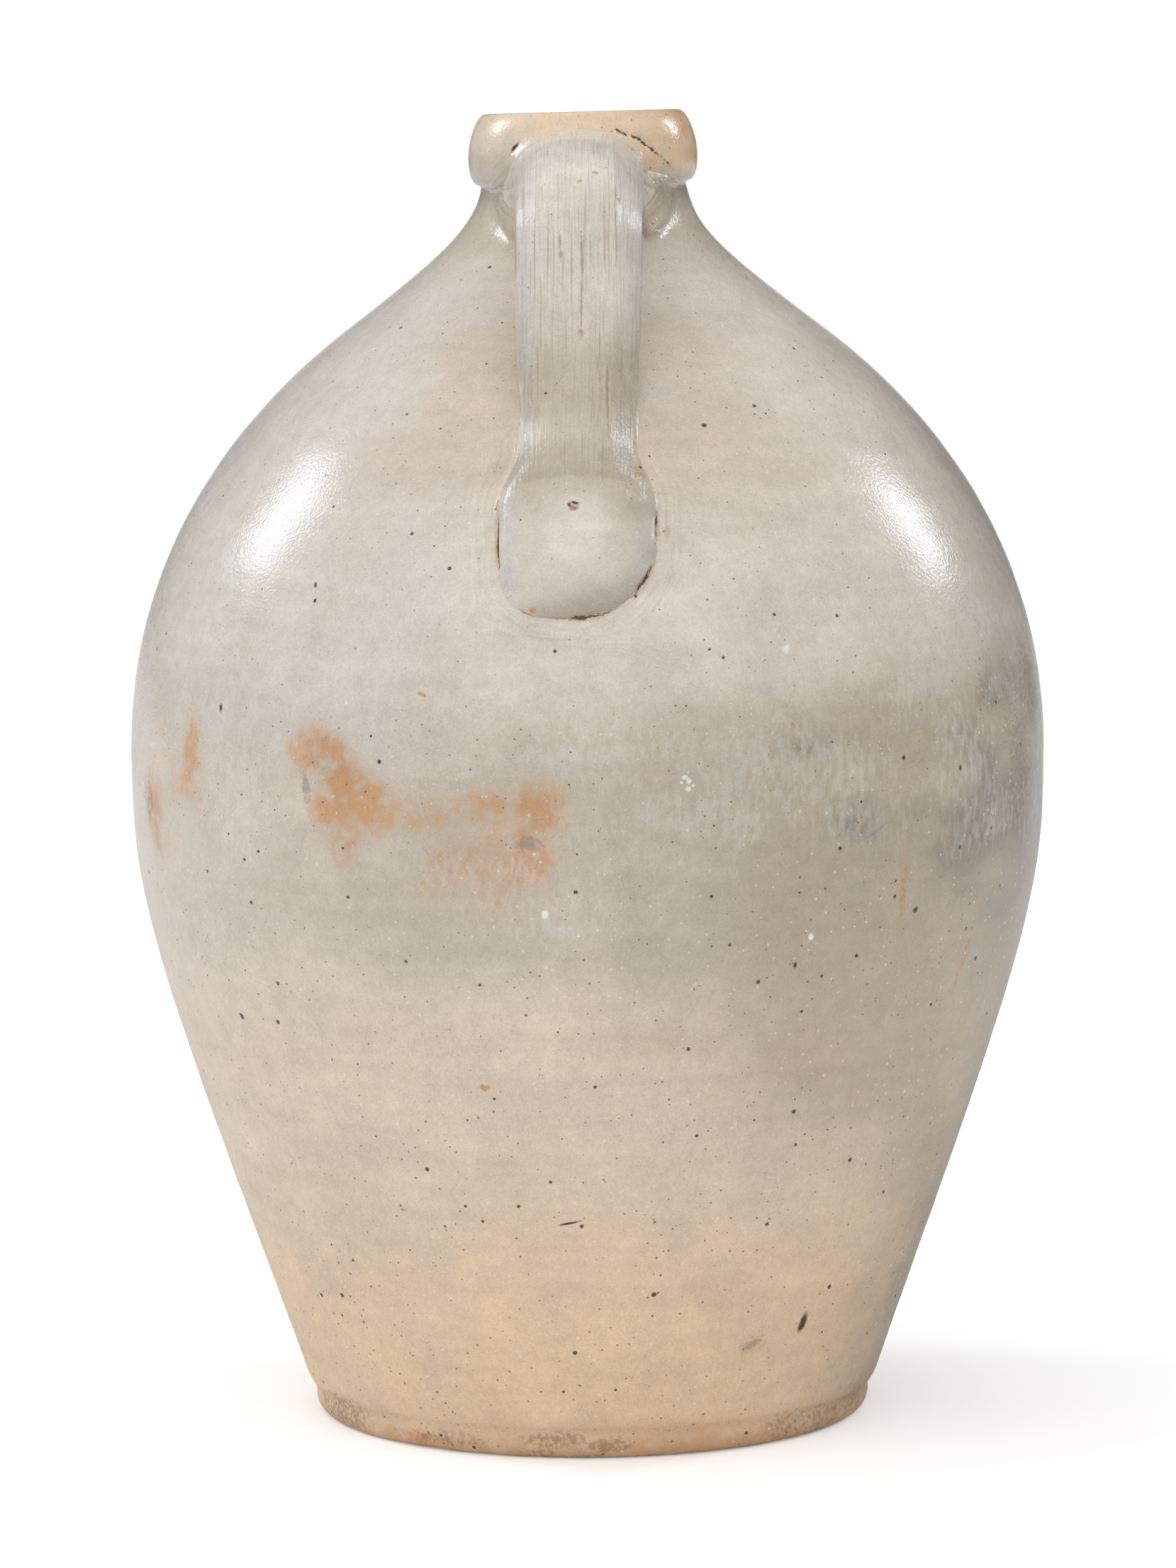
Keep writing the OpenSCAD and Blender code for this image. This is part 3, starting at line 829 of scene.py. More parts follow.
body[..., 2] = np.where(is_outside, np.maximum(body[..., 2], 0), body[..., 2])
print("ridges of the strap in mm, at most:", round(np.abs(ridges).max(), 2))

# %% [markdown]
# ## Placing what the fire and the years left
# Each mark of the real jug has a place in the photograph, and the ray through it meets the model at the
# mark's place on the clay. So a stain, a chip or a crack is written down as where it shows, with its
# size in millimetres, and it stays on the jug from every side.

# %% From a place in the photograph to a place on the jug
def on_jug(px, py):
    """The first place inside the body or the strap along the ray through a place of the picture. The
    ray is tried at steps of a quarter of a millimetre."""
    reach = np.arange(1500, 1790, 0.25)[:, None]
    tried = CAMERA_AT + picture_rays(px, py) * reach
    inside = np.hypot(tried[:, 0], tried[:, 1]) < whole_radius(tried[:, 2])
    inside |= strap_fullness(*strap_coordinates(tried)) < 1
    return tried[np.argmax(inside)]


def line_distance(points, corners):
    """The distance of places from a line through some corners: the least to any of its stretches."""
    best = np.full(points.shape[:-1], 99.0)
    for a, b in zip(corners[:-1], corners[1:]):
        t = np.clip(((points - a) @ (b - a)) / ((b - a) @ (b - a)), 0, 1)
        best = np.minimum(best, np.linalg.norm(points - a - t[..., None] * (b - a), axis=-1))
    return best


COLLAR_CRACK = [(866, 182), (883, 190), (899, 194), (905, 200), (917, 208), (925, 215), (934, 222),
                (943, 229), (949, 237)]
collar_crack = np.array([on_jug(*place) for place in COLLAR_CRACK])
crack_steps = np.linalg.norm(np.diff(collar_crack, axis=0), axis=1)
print("the collar's crack in mm:", round(crack_steps.sum(), 1))

# %% [markdown]
# The collar has a crack from the firing and a small chip, and a bubble burst in the lug and left a pit
# with a scraped patch below it. A bump in the material would vanish at the outline and in the model's
# own mesh, so these are real dents, each a soft bell or step of the distance to its line or place.

# %% The crack and the chip of the collar, and the lug's pit
SPLIT_WIDE, SPLIT_DEPTH, CHIP_WIDE, CHIP_DEPTH = 0.42, 0.45, 0.6, 0.5
PIT_DEPTH, PIT_LIP, SCRAPE_DEPTH = 2.0, 0.35, 0.3
body_fissure = line_distance(body, collar_crack)
split_open = SPLIT_DEPTH * bump(body_fissure, 0, SPLIT_WIDE) * is_outside
body = body - body_normals * split_open[..., None]
chip_line = np.array([on_jug(723, 213), on_jug(731, 203)])
chipped = CHIP_DEPTH * bump(line_distance(body, chip_line), 0, CHIP_WIDE) * is_outside
body = body - body_normals * chipped[..., None]
pit, scrape = on_jug(810, 716), on_jug(806, 741)
pit_lip = np.array([on_jug(800, 712), on_jug(812, 709), on_jug(824, 719)])
torn = rough_noise(strap, 1.6, 53)
strap_pit = np.linalg.norm((strap - pit) * [0.8, 1, 1.25], axis=-1)
pitted = PIT_DEPTH * smooth(1.5, 0.3, strap_pit + 0.5 * torn)
pitted = pitted - PIT_LIP * bump(line_distance(strap, pit_lip), 0.3, 0.7)
scraped = SCRAPE_DEPTH * smooth(2.8, 1.6, np.abs(strap - scrape) @ [1, 0, 0.9] + 0.6 * torn)
strap = strap - strap_normals * ((pitted + scraped) * (strap_out > 0))[..., None]

jug_body = skin("jug_body", body)
jug_handle = skin("jug_handle", strap)

# %% [markdown]
# ## The glaze's tones
# Salt glaze is thin and clear, so most of the colour is the clay's own, changed by the fire. Where it
# burnt clean the clay is buff, and towards the foot it is toasted. Ash and smoke turned a band below
# the belly grey, and flashes of iron turned orange. Some tones are painted light and shade instead: a
# lilac painted reflection on the left shoulder, a pale painted light on the front of the shoulder, and
# painted shade in the olive, smoke and warm tones under the collar, beside the strap and down the right
# side. Each tone is an amount at each place of the skins, worked out from height, angle and soft noise,
# and the material mixes them. An attribute carries it there, because a tone that is tied to the clay
# stays put from every side.

# %% Where each tone lies on the body
def turned_from_front(points):
    """The angle round the axis in degrees: 0 in front under the handle, positive to the right."""
    return np.degrees(np.arctan2(points[..., 0], -points[..., 1]))


ragged = 0.45 * rough_noise(body, 7, 101)


def patch(points, px, py, wide, tall, turn=0, edge=0.95):
    """A soft-edged oval on the body round a place of the picture. Its half sizes are in mm, and noise
    pushes its outline in and out: 1 inside, easing to 0 over the edge, as a share of its size."""
    middle = on_jug(px, py)
    round_by = (turned_from_front(points) - turned_from_front(middle) + 180) % 360 - 180
    a = np.radians(round_by) * np.hypot(middle[0], middle[1])
    b = points[..., 2] - middle[2]
    c, s = np.cos(np.radians(turn)), np.sin(np.radians(turn))
    far = np.hypot((a * c + b * s) / wide, (b * c - a * s) / tall)
    return smooth(1 + edge, 1 - edge, far + ragged)


# A height in mm and an angle in degrees that wander, so that no tone ends in a straight line
height_of, turned_by = body[..., 2], turned_from_front(body)
drifted = height_of + 8 * rough_noise(body, 48, 61) + 3 * rough_noise(body, 11, 67)
swung = turned_by + 14 * rough_noise(body, 52, 71) + 4 * rough_noise(body, 10, 73)
streaky = rough_noise(body * [1, 1, 2.6], 26, 79)
on_collar = smooth(GROOVE_Z - 1, GROOVE_Z + 1, height_of) * is_outside
right_side = plateau(swung, 35, 150, 40)
left_side = plateau(swung, -150, -30, 30)

# Heights are in mm and angles in degrees from the front: where each tone begins, is full, and ends
tones = {
    "buff": smooth(160, 96, drifted + 6 * streaky),
    "toast": smooth(112, 12, drifted) * (1 - 0.25 * plateau(swung, -130, -40, 30)),
    "burnt": smooth(12, 1, drifted * 0.3 + height_of * 0.7) * (0.6 + 0.4 * right_side),
    "ash": (smooth(104, 142, drifted) * smooth(226, 178, drifted)
            * (0.45 + 0.55 * smooth(-50, 40, swung))),
    # a smoky band on the right, with painted shade: darker down the right side below the shoulder
    "smoke_and_shade": np.maximum(smooth(112, 170, drifted) * smooth(244, 176, drifted)
                        * plateau(swung + 30 * streaky, 78, 112, 62) * (0.85 + 0.3 * streaky),
                        0.52 * smooth(318, 250, drifted) * smooth(34, 84, swung)
                        * smooth(200, 110, swung)),
    # painted reflection: a lilac tint on the left shoulder stands in for the cool softboxes' reflection
    "painted_lilac_sheen": 0.5 * smooth(168, 200, drifted) * left_side * smooth(322, 296, drifted),
    # olive tone with painted shade: darker down the right side and on the collar's lower half, under
    # its edge
    "olive_and_shade": np.maximum(smooth(225, 180, drifted) * smooth(62, 112, drifted) * right_side
                        + 0.95 * smooth(112, 62, drifted) * plateau(swung, 88, 130, 66),
                        on_collar * smooth(344, 334, height_of) * (0.9 + 0.4 * streaky)),
    # painted light: a pale patch on the front of the shoulder stands in for a soft overhead reflection
    "painted_light": 0.4 * plateau(drifted, 216, 238, 20) * plateau(swung, -70, 16, 22),
    # painted shade: a darker warm tone on the shoulder beside the strap, where the strap shades it
    "warm_and_shade": plateau(drifted, 262, 292, 20) * smooth(60, 15, np.abs(swung)) * (0.75 + 0.5 * streaky),
}
print("tones of the wall:", ", ".join(tones))

# %% The flashes, the dust and the dirt, each at its place
# Each patch: its place in the picture, its half width and half height in mm, its strength and its turn
FLASHES = [(452, 1066, 8, 7, 1.0, 0), (476, 1118, 8, 10, 1.0, -8), (482, 1180, 5, 7, 0.7, 0),
           (528, 1140, 9, 6, 0.75, -12), (600, 1150, 14, 6, 0.5, 0), (700, 1140, 12, 6, 0.6, 0),
           (752, 1146, 8, 8, 0.8, 0), (750, 1205, 5, 7, 0.9, 0), (690, 1230, 17, 12, 0.5, 0),
           (268, 1066, 6, 12, 0.75, 0), (218, 1140, 6, 12, 0.8, 0), (236, 1100, 10, 26, 0.3, 0),
           (588, 2036, 6, 3, 0.6, 0), (940, 1080, 10, 8, 0.22, 0)]
RUST = [(1276, 1255, 1.3, 8, 0.8, 4), (1362, 1350, 1.6, 11, 0.6, -14), (1226, 1015, 6, 2, 0.3, 0),
        (1122, 1028, 5, 1.6, 0.4, 0), (1200, 1020, 9, 3, 0.25, 0)]
DUST = [(332, 1112, 9, 13, 0.9, 0), (290, 1010, 14, 8, 0.5, 0), (1010, 1146, 22, 7, 0.7, 0),
        (860, 1050, 30, 14, 0.5, 0), (1120, 1090, 26, 12, 0.7, 0), (1360, 1060, 16, 18, 0.5, 0),
        (760, 1290, 26, 9, 0.5, 0), (1300, 960, 22, 12, 0.5, 0), (1040, 960, 30, 12, 0.4, 0),
        (205, 980, 8, 16, 0.6, 0)]
DIRT = [(210, 1125, 4, 6, 0.5, 0), (1452, 960, 7, 12, 0.6, 0), (1440, 1080, 10, 16, 0.6, 0),
        (778, 2034, 8, 2, 0.7, 0), (856, 2042, 7, 2, 0.7, 0), (1207, 1970, 9, 6, 0.55, 0),
        (1061, 1897, 5, 3, 0.35, 30), (1150, 2004, 22, 4, 0.5, 0), (470, 1990, 14, 5, 0.6, 0),
        (620, 2030, 16, 2.5, 0.5, 0)]


def all_patches(places):
    """The strongest of some patches at each place of the body, times its strength."""
    return np.max([patch(body, px, py, wide, tall, turn) * much
                   for px, py, wide, tall, much, turn in places], axis=0)


tones["flash"] = all_patches(FLASHES) * is_outside
tones["rust"] = all_patches(RUST) * is_outside
dust_band = 0.5 * plateau(drifted, 165, 215, 22) * (0.5 + streaky)
tones["dust"] = np.maximum(all_patches(DUST), dust_band) * is_outside
foot_dirt = smooth(5, 1, height_of) * (0.2 + 0.5 * rough_noise(body, 14, 83))
foot_dirt = foot_dirt + 0.22 * bump(height_of, 8, 1.6)
tones["dirt"] = np.maximum(all_patches(DIRT), np.clip(foot_dirt, 0, 1)) * is_outside
tones["warm_and_shade"] = np.maximum(tones["warm_and_shade"], 0.35 * smooth(0.1, 0.6, rough_noise(body, 30, 107)))
print("flashes, rust, dust and dirt:", [len(places) for places in (FLASHES, RUST, DUST, DIRT)])

# %% The tones of the collar, the joint and the underside
upper_collar = on_collar * smooth(330, 338, height_of)
peachy = 0.25 + 0.55 * smooth(-50, 45, swung) + 0.35 * smooth(338, 348, height_of)
round_joint = 0.2 * bump(body_seam, 2.0, 3.5) * smooth(285, 262, height_of) * (0.7 + streaky)
tones["peach"] = np.maximum(upper_collar * peachy, round_joint)
collar_flash = 0.42 * upper_collar * plateau(swung, 34, 95, 24) * (0.8 + streaky)
tones["flash"] = np.maximum(tones["flash"], collar_flash)
# painted shade: smoke darkens the neck under the collar's overhang
tones["smoke_and_shade"] = np.maximum(tones["smoke_and_shade"], 0.45 * bump(height_of, GROOVE_Z - 1, 7) * is_outside)
tones["flash"] = np.maximum(tones["flash"], 0.5 * smooth(0.3, 0.6, rough_noise(body, 7, 89))
                            * bump(body_seam, 2, 3) * smooth(265, 255, height_of))
underside = smooth(70.5, 69, np.hypot(body[..., 0], body[..., 1])) * (height_of < 1)
tones["bare"] = np.where(is_outside, underside, 1.0)
tones["gloss"] = is_outside * smooth(50, 215, height_of) * (1 - 0.5 * tones["dust"])
near_lug = smooth(274, 262, height_of)
on_web = smooth(0.3, 1.5, rising * radius) * smooth(338, 332, height_of)
# painted shade: olive darkens the neck under the collar's overhang and the corner where the web meets
# it
shade_under_collar = 0.7 * smooth(296, 322, height_of) * (1 - on_collar) * is_outside
tones["olive_and_shade"] = np.maximum(tones["olive_and_shade"], shade_under_collar + on_web * smooth(14, 2, body_seam))
tones["grainy"] = 0.85 + 0.15 * smooth(210, 70, height_of) + 0.2 * rough_noise(body, 22, 113)
tones["grainy"] = tones["grainy"] * is_outside
round_lug = bump(body_seam, 4, 5) * smooth(10.5, 7.5, body_seam) * near_lug
tones["smear"] = np.maximum(round_lug, on_web)
print("tones of the body:", ", ".join(tones))

# %% What each place of the body knows
for name, amount in tones.items():
    note(jug_body, name, np.broadcast_to(amount, height_of.shape))
note(jug_body, "seam", np.minimum(body_seam, NEAR))
note(jug_body, "cracked", body_crack)
thinner = 0.12 * smooth(3, 9, np.linalg.norm(body - on_jug(890, 191), axis=-1))
note(jug_body, "fissure", np.minimum(body_fissure + thinner, 5))
lug_place = np.array([LUG_SHIFT, -whole_radius(LUG_Z), LUG_Z])
from_lug = body - lug_place
note(jug_body, "lug_turn", np.degrees(np.arctan2(from_lug[..., 0], -from_lug[..., 2] * 1.15)))
for name in ("strap", "strap_across", "strap_along"):
    note(jug_body, name, 0 * height_of)
print("numbers at each place:", len(jug_body.data.attributes))

# %% [markdown]
# The handle stood clear of the wall in the flame, so it kept a glossier glaze, with brown in the
# fingers' lines. Its pale places are painted light, on the bend and the lug's middle, its greys are
# largely painted shade, on its back and flanks, down its lower part and at the lug's bottom, and its
# sides carry a lilac painted reflection and shade. It takes the same tones as the body, placed in its
# own terms: along the strap, across it, and up from the lug's middle.

# %% Where each tone lies on the handle
share_across = strap_across / np.maximum(np.concatenate([half[:1], half]), 1)
at_lug = smooth(lug_middle - 18, lug_middle - 2, strap_along)
pulled_part = smooth(lug_middle - 4, lug_middle - 24, strap_along) * smooth(0.2, 2.5, strap_seam)
strap_noise, strap_patches = rough_noise(strap, 16, 97), rough_noise(strap, 5, 103)
strap_tones = {
    # painted reflection and shade: lilac darkens the strap's sides, where they turn away from the light
    "painted_lilac_sheen": (np.clip(0.8 * smooth(0.45, 1, np.abs(share_across)) + 0.25 * strap_noise, 0, 1)
              * smooth(-4, 0, strap_out)),
    # painted light: paler on the strap's bend, where its highlight lies, and on the lug's middle, which
    # faces up
    "painted_light": (np.maximum(pulled_part * plateau(strap_along, 20, 66, 34) * (0.75 + 0.3 * strap_noise),
                        0.8 * smooth(13, 5, np.hypot(strap_across, s_up - 1)))
             * smooth(-2, 1, strap_out)),
    # painted shade: olive on the strap's back and flanks, and down its lower part above the lug
    "olive_and_shade": np.clip(0.25 * smooth(0.2, 1, share_across) + 0.75 * smooth(3, -6, strap_out)
                     + 0.3 * strap_noise + 0.7 * plateau(strap_along, 95, lug_middle - 18, 25), 0, 1),
    # painted shade: darker at the lug's bottom, which turns downwards, and on the strap just above the
    # crease
    "smoke_and_shade": np.clip(0.6 * smooth(lug_middle + 8, lug_end, strap_along + 0.25 * strap_across)
                     + 0.3 * bump(s_up, 19, 6), 0, 1) * smooth(-1, 1, strap_out),
    "warm_and_shade": 0.55 * pulled_part * smooth(-0.2, 0.6, strap_noise) * smooth(40, 90, strap_along),
    "dust": (0.35 * smooth(0.1, 0.5, strap_patches)
             + 0.8 * smooth(3.2, 2.2, np.linalg.norm(strap - scrape, axis=-1))),
    "peach": (0.15 * at_lug * smooth(0.9, 0, np.abs(share_across))
              + 0.4 * smooth(12, 0, strap_along) * (strap_out > -2)),
    "flash": 0.5 * smooth(0.35, 0.7, strap_patches) * smooth(2.5, 0.5, strap_seam) * at_lug,
    "dirt": 0.5 * smooth(1.9, 0.9, strap_pit + 0.4 * torn),
    "gloss": 1.0 - 0.2 * at_lug,
    "grainy": 0.75 + 0.3 * strap_noise,
    "smear": 0.7 * smooth(3, -4, strap_out) * smooth(30, 12, strap_along),
}
for name in tones:
    spread = np.broadcast_to(strap_tones.get(name, 0.0), strap_along.shape)
    note(jug_handle, name, spread.astype(float))
note(jug_handle, "strap", pulled_part)
note(jug_handle, "strap_across", strap_across)
note(jug_handle, "strap_along", strap_along)
note(jug_handle, "seam", -strap_seam)
note(jug_handle, "cracked", strap_crack)
note(jug_handle, "fissure", np.full(strap_along.shape, 5.0))
note(jug_handle, "lug_turn", joint_angle(strap_across, strap_along))
print("tones of the handle:", ", ".join(strap_tones))

# %% [markdown]
# ## Salt-glazed stoneware
# The real finish is a thin glass with the skin of an orange, fused onto a sandy clay that is full of
# iron. Everything starts from a few noises whose cells have real sizes: grit of half a millimetre,
# flecks, blotches of a few millimetres, soft clouds, streaks that the turning drew out sideways, and
# drips drawn out downwards, in which the dust clings. They could be painted pictures, but noises in
# millimetres keep their size on every piece and have no seam.

# %% The material's coordinates, noises and amounts
glaze = bpy.data.materials.new("salt_glazed_stoneware")
glaze.use_nodes = True
tree = glaze.node_tree
tree.nodes.clear()
where = node(tree, "TexCoord")
in_mm = node(tree, "VectorMath", {0: where.outputs["Object"], "Scale": 1 / MM}, operation="SCALE")
drawn_out = node(tree, "Mapping", {"Vector": in_mm, "Scale": (0.06, 0.06, 1)})
hanging = node(tree, "Mapping", {"Vector": in_mm, "Scale": (1, 1, 0.4)})
# Each noise: where it is read, the size of its cell in mm, and how many finer layers it has
NOISES = {"grit": (in_mm, 0.5, 1), "flecks": (in_mm, 1.3, 2), "blotches": (in_mm, 4.0, 3),
          "clouds": (in_mm, 18.0, 2), "streaks": (drawn_out, 4.0, 1), "drips": (hanging, 1.7, 3)}
noises = {name: node(tree, "TexNoise", {"Vector": vector, "Scale": 1 / cell, "Detail": detail})
          for name, (vector, cell, detail) in NOISES.items()}
AMOUNTS = [*tones, "seam", "cracked", "fissure", "lug_turn", "strap", "strap_across", "strap_along"]
amount = {name: node(tree, "Attribute", attribute_name=name).outputs["Fac"] for name in AMOUNTS}
print("noises:", ", ".join(noises))

# %% [markdown]
# The tones go one over another like washes of colour. Each amount is multiplied by a noise before it is
# stepped, so its edge breaks up into blotches or flecks in the way a flame or settling ash leaves it.

# %% The tones, one over another
STONE = "dad0c1"
# Each tone: its colour, how strong it gets, and how much which noise breaks it up
# pale is painted light, lilac a painted reflection; olive, smoke and warm also carry painted shade
TONES = [("painted_light", "e6dfd3", 0.85, 0.3, "clouds"), ("painted_lilac_sheen", "ccc5c3", 0.6, 0.5, "clouds"),
         ("warm_and_shade", "cdb8a2", 0.6, 0.5, "clouds"), ("ash", "c0b4a0", 0.88, 0.35, "streaks"),
         ("buff", "dfcdb8", 0.95, 0.18, "clouds"), ("toast", "e6caa9", 1.0, 0.18, "clouds"),
         ("olive_and_shade", "b3a38b", 0.65, 0.5, "clouds"), ("smoke_and_shade", "7f766a", 0.8, 0.2, "clouds"),
         ("peach", "e8caa6", 0.85, 0.6, "blotches"), ("burnt", "cca278", 0.85, 0.6, "blotches"),
         ("flash", "c98f55", 0.8, 0.65, "blotches"), ("rust", "b9824c", 0.7, 0.8, "flecks"),
         ("dust", "dcd7cd", 0.42, 1.1, "drips"), ("dirt", "77634e", 0.55, 1.6, "flecks"),
         ("bare", "c3a47f", 1.0, 0.2, "blotches")]
colour = linear(STONE)
for name, code, most, broken, by in TONES:
    torn_by = node(tree, "Math", {0: noises[by], 1: 4 * broken, 2: 1 - 2 * broken},
                   operation="MULTIPLY_ADD")
    torn_by = node(tree, "Math", {0: torn_by, 1: amount[name]}, operation="MULTIPLY")
    laid = node(tree, "MapRange", {"Value": torn_by, "From Min": 0.08, "From Max": 0.92,
                                   "To Max": most}, interpolation_type="SMOOTHSTEP")
    colour = node(tree, "Mix", {0: laid, 6: colour, 7: linear(code)}, data_type="RGBA").outputs[2]
print("tones:", len(TONES))

# %% [markdown]
# Iron grains melted out of the clay as dark specks. Most are pepper of a few tenths of a millimetre,
# and a few are blots of one or two. Bits of lime made pale ones. Points scattered through space in
# cells of a known size are the grains, and each has its own random radius, so that large ones are rare.
# The finest would fall between the pixels, so they are drawn a little larger than they are.

# %% Specks of lime and iron
# Each kind: the cell and the largest radius in mm, how rare large ones are, the colour, its strength
SPECKS = [("lime", 1.9, 0.62, 1.3, "e8e1d6", 0.6), ("pepper", 1.8, 0.45, 1.5, "6b5846", 0.8),
          ("iron", 4.2, 0.9, 2.9, "372b23", 0.92)]
for name, cell, largest, rarity, code, most in SPECKS:
    grains = node(tree, "TexVoronoi", {"Vector": in_mm, "Scale": 1 / cell})
    own = node(tree, "SeparateXYZ", {0: grains.outputs["Color"]})
    size = node(tree, "Math", {0: own.outputs["Y"], 1: rarity}, operation="POWER")
    size = node(tree, "Math", {0: size, 1: amount["grainy"]}, operation="MULTIPLY")
    reach = largest / cell
    edge = node(tree, "Math", {0: noises["grit"], 1: 0.35 * reach, 2: grains},
                operation="MULTIPLY_ADD")
    depth = node(tree, "Math", {0: size, 1: reach, 2: -0.175 * reach}, operation="MULTIPLY_ADD")
    depth = node(tree, "Math", {0: depth, 1: edge}, operation="SUBTRACT")
    shown = node(tree, "MapRange", {"Value": depth, "From Min": -0.17 * reach,
                                    "From Max": -0.05 * reach, "To Max": most})
    colour = node(tree, "Mix", {0: shown, 6: colour, 7: linear(code)}, data_type="RGBA").outputs[2]
print("grains in a litre of clay, by kind:", {kind: round(1e6 / cell ** 3)
                                              for kind, cell, *_ in SPECKS})

# %% [markdown]
# Some marks can be told apart one by one: a few large blots, a drip of dark glaze, scuffs, orange bits
# and splashes of white. Each is an oval with a torn edge, laid flat on the jug at its own place by a
# Mapping node, whose axes are the jug's sideways, outward and upward directions there.

# %% Single marks, each laid on its place
# Each kind: its colour, how strong it is, how torn its edge is, and its places: where in the picture,
# half width and half height in mm, and turn in degrees
MARKS = {
    "black": ("28211d", 0.95, 0.7, [
        (311, 998, 0.5, 1.0, 0), (535, 1075, 0.5, 0.5, 0), (1293, 1284, 0.8, 0.7, 20),
        (1123, 1362, 0.5, 0.7, 0), (1276, 1069, 0.6, 0.6, 0), (1356, 1083, 0.5, 0.7, 0),
        (1186, 1197, 0.5, 0.5, 0), (1248, 1682, 0.5, 0.5, 0), (445, 825, 0.4, 0.7, 10),
        (444, 847, 0.4, 0.5, 0), (804, 1726, 2.6, 0.3, 12), (1133, 1866, 1.1, 2.7, -9),
        (994, 599, 0.7, 0.6, 0), (727, 208, 1.5, 0.5, 40), (770, 555, 0.35, 0.35, 0),
        (1004, 1265, 0.4, 0.4, 0), (340, 1434, 0.6, 0.9, 50), (1142, 1322, 0.3, 0.3, 0),
        (811, 711, 1.0, 0.3, -12), (803, 714, 0.4, 0.5, 0)]),
    "grey": ("8f8a84", 0.6, 3.0, [
        (431, 1111, 1.0, 3.2, 8), (747, 1192, 2.6, 2.0, 0), (1234, 1175, 4.2, 0.35, 26),
        (1061, 1897, 2.4, 0.9, 30), (1203, 1160, 1.2, 1.4, 0)]),
    "orange": ("c98c52", 0.75, 2.6, [
        (594, 979, 0.9, 0.4, -20), (839, 244, 0.75, 0.7, 0), (818, 256, 0.7, 0.6, 0),
        (873, 280, 0.5, 1.2, 10), (820, 470, 0.5, 1.0, 0), (904, 664, 1.2, 1.0, 30),
        (753, 861, 0.9, 0.6, 0), (702, 712, 0.5, 1.6, 0), (683, 1535, 1.2, 0.8, 0),
        (808, 718, 0.7, 0.7, 0), (902, 664, 1.4, 0.6, 30)]),
    "brown": ("94765a", 0.5, 2.4, [
        (821, 365, 0.3, 7, 1), (820, 430, 0.25, 7, -1), (791, 357, 0.4, 1.2, 0),
        (857, 562, 0.25, 12, -1), (790, 340, 0.3, 3, 0)]),
    "white": ("f3f1ee", 0.95, 1.6, [
        (966, 1097, 0.7, 0.5, 0), (972, 1102, 0.6, 0.7, 0), (972, 1113, 0.6, 0.6, 0),
        (978, 1108, 0.4, 0.4, 0), (769, 1291, 0.8, 0.9, 0), (1145, 1322, 0.7, 0.7, 0),
        (962, 1104, 0.35, 0.35, 0), (1110, 915, 0.9, 1.1, 0)]),
}


def laid_flat(px, py, turn):
    """The place of a mark, and the angles of a frame there: its first axis goes sideways round the jug,
    its third up along the surface, both turned by the mark's own turn, and its second goes inwards."""
    place = Vector(on_jug(px, py))
    sideways = Vector((-place.y, place.x, 0)).normalized()
    up = Vector(on_jug(px, py - 6)) - place
    up = (up - sideways * up.dot(sideways)).normalized()
    frame_here = Matrix((sideways, up.cross(sideways), up)).transposed()
    return place, (frame_here @ Matrix.Rotation(np.radians(-turn), 3, "Y")).to_euler()


for name, (code, most, tear, places) in MARKS.items():
    nearest = 9.0
    for px, py, wide, tall, turn in places:
        place, angles = laid_flat(px, py, turn)
        size = (wide, 3 * max(wide, tall), tall)
        oval = node(tree, "Mapping", {"Vector": in_mm, "Location": place, "Rotation": angles,
                                      "Scale": size}, vector_type="TEXTURE")
        far = node(tree, "VectorMath", {0: oval}, operation="LENGTH").outputs["Value"]
        nearest = node(tree, "Math", {0: far, 1: nearest}, operation="MINIMUM")
    torn_edge = node(tree, "Math", {0: noises["flecks"], 1: tear, 2: nearest},
                     operation="MULTIPLY_ADD")
    laid = node(tree, "MapRange", {"Value": torn_edge, "From Min": 0.5 * tear + 1.4,
                                   "From Max": 0.5 * tear + 0.7, "To Max": most})
    colour = node(tree, "Mix", {0: laid, 6: colour, 7: linear(code)}, data_type="RGBA").outputs[2]
print("marks:", sum(len(row[-1]) for row in MARKS.values()))

# %% [markdown]
# The joints that opened are thin dark lines with a rim of orange where the bare clay was exposed. Each
# place knows how far it is from the joint, and noise makes that line tremble and break.

# %% Cracks and their rims
# Distances are in mm: the line trembles by 0.6 either way, a gap is about a millimetre wide in all
# where the joint cracked most, and the rim of bare clay fades out 1.5 from the joint
trembling = node(tree, "Math", {0: noises["flecks"], 1: 1.2, 2: -0.6}, operation="MULTIPLY_ADD")
from_joint = node(tree, "Math", {0: amount["seam"], 1: trembling}, operation="ADD")
from_joint = node(tree, "Math", {0: from_joint}, operation="ABSOLUTE")
gap_width = node(tree, "Math", {0: noises["blotches"], 1: 1.4, 2: -0.25}, operation="MULTIPLY_ADD")
gap_width = node(tree, "Math", {0: amount["cracked"], 1: gap_width}, operation="MULTIPLY")
gap = node(tree, "Math", {0: gap_width, 1: from_joint}, operation="SUBTRACT")
gap = node(tree, "MapRange", {"Value": gap, "From Min": 0.02, "From Max": 0.2, "To Max": 0.9})
split = node(tree, "Math", {0: trembling, 1: 1.3, 2: amount["fissure"]}, operation="MULTIPLY_ADD")
split = node(tree, "MapRange", {"Value": split, "From Min": 0.42, "From Max": 0.22, "To Max": 0.9})
crack = node(tree, "Math", {0: gap, 1: split}, operation="MAXIMUM")
rim = node(tree, "MapRange", {"Value": from_joint, "From Min": 1.5, "From Max": 0.3})
rim = node(tree, "Math", {0: rim, 1: gap_width}, operation="MULTIPLY")
for laid, code in ((rim, "bf8f5f"), (crack, "453429")):
    colour = node(tree, "Mix", {0: laid, 6: colour, 7: linear(code)}, data_type="RGBA").outputs[2]
print("nodes so far:", len(tree.nodes))

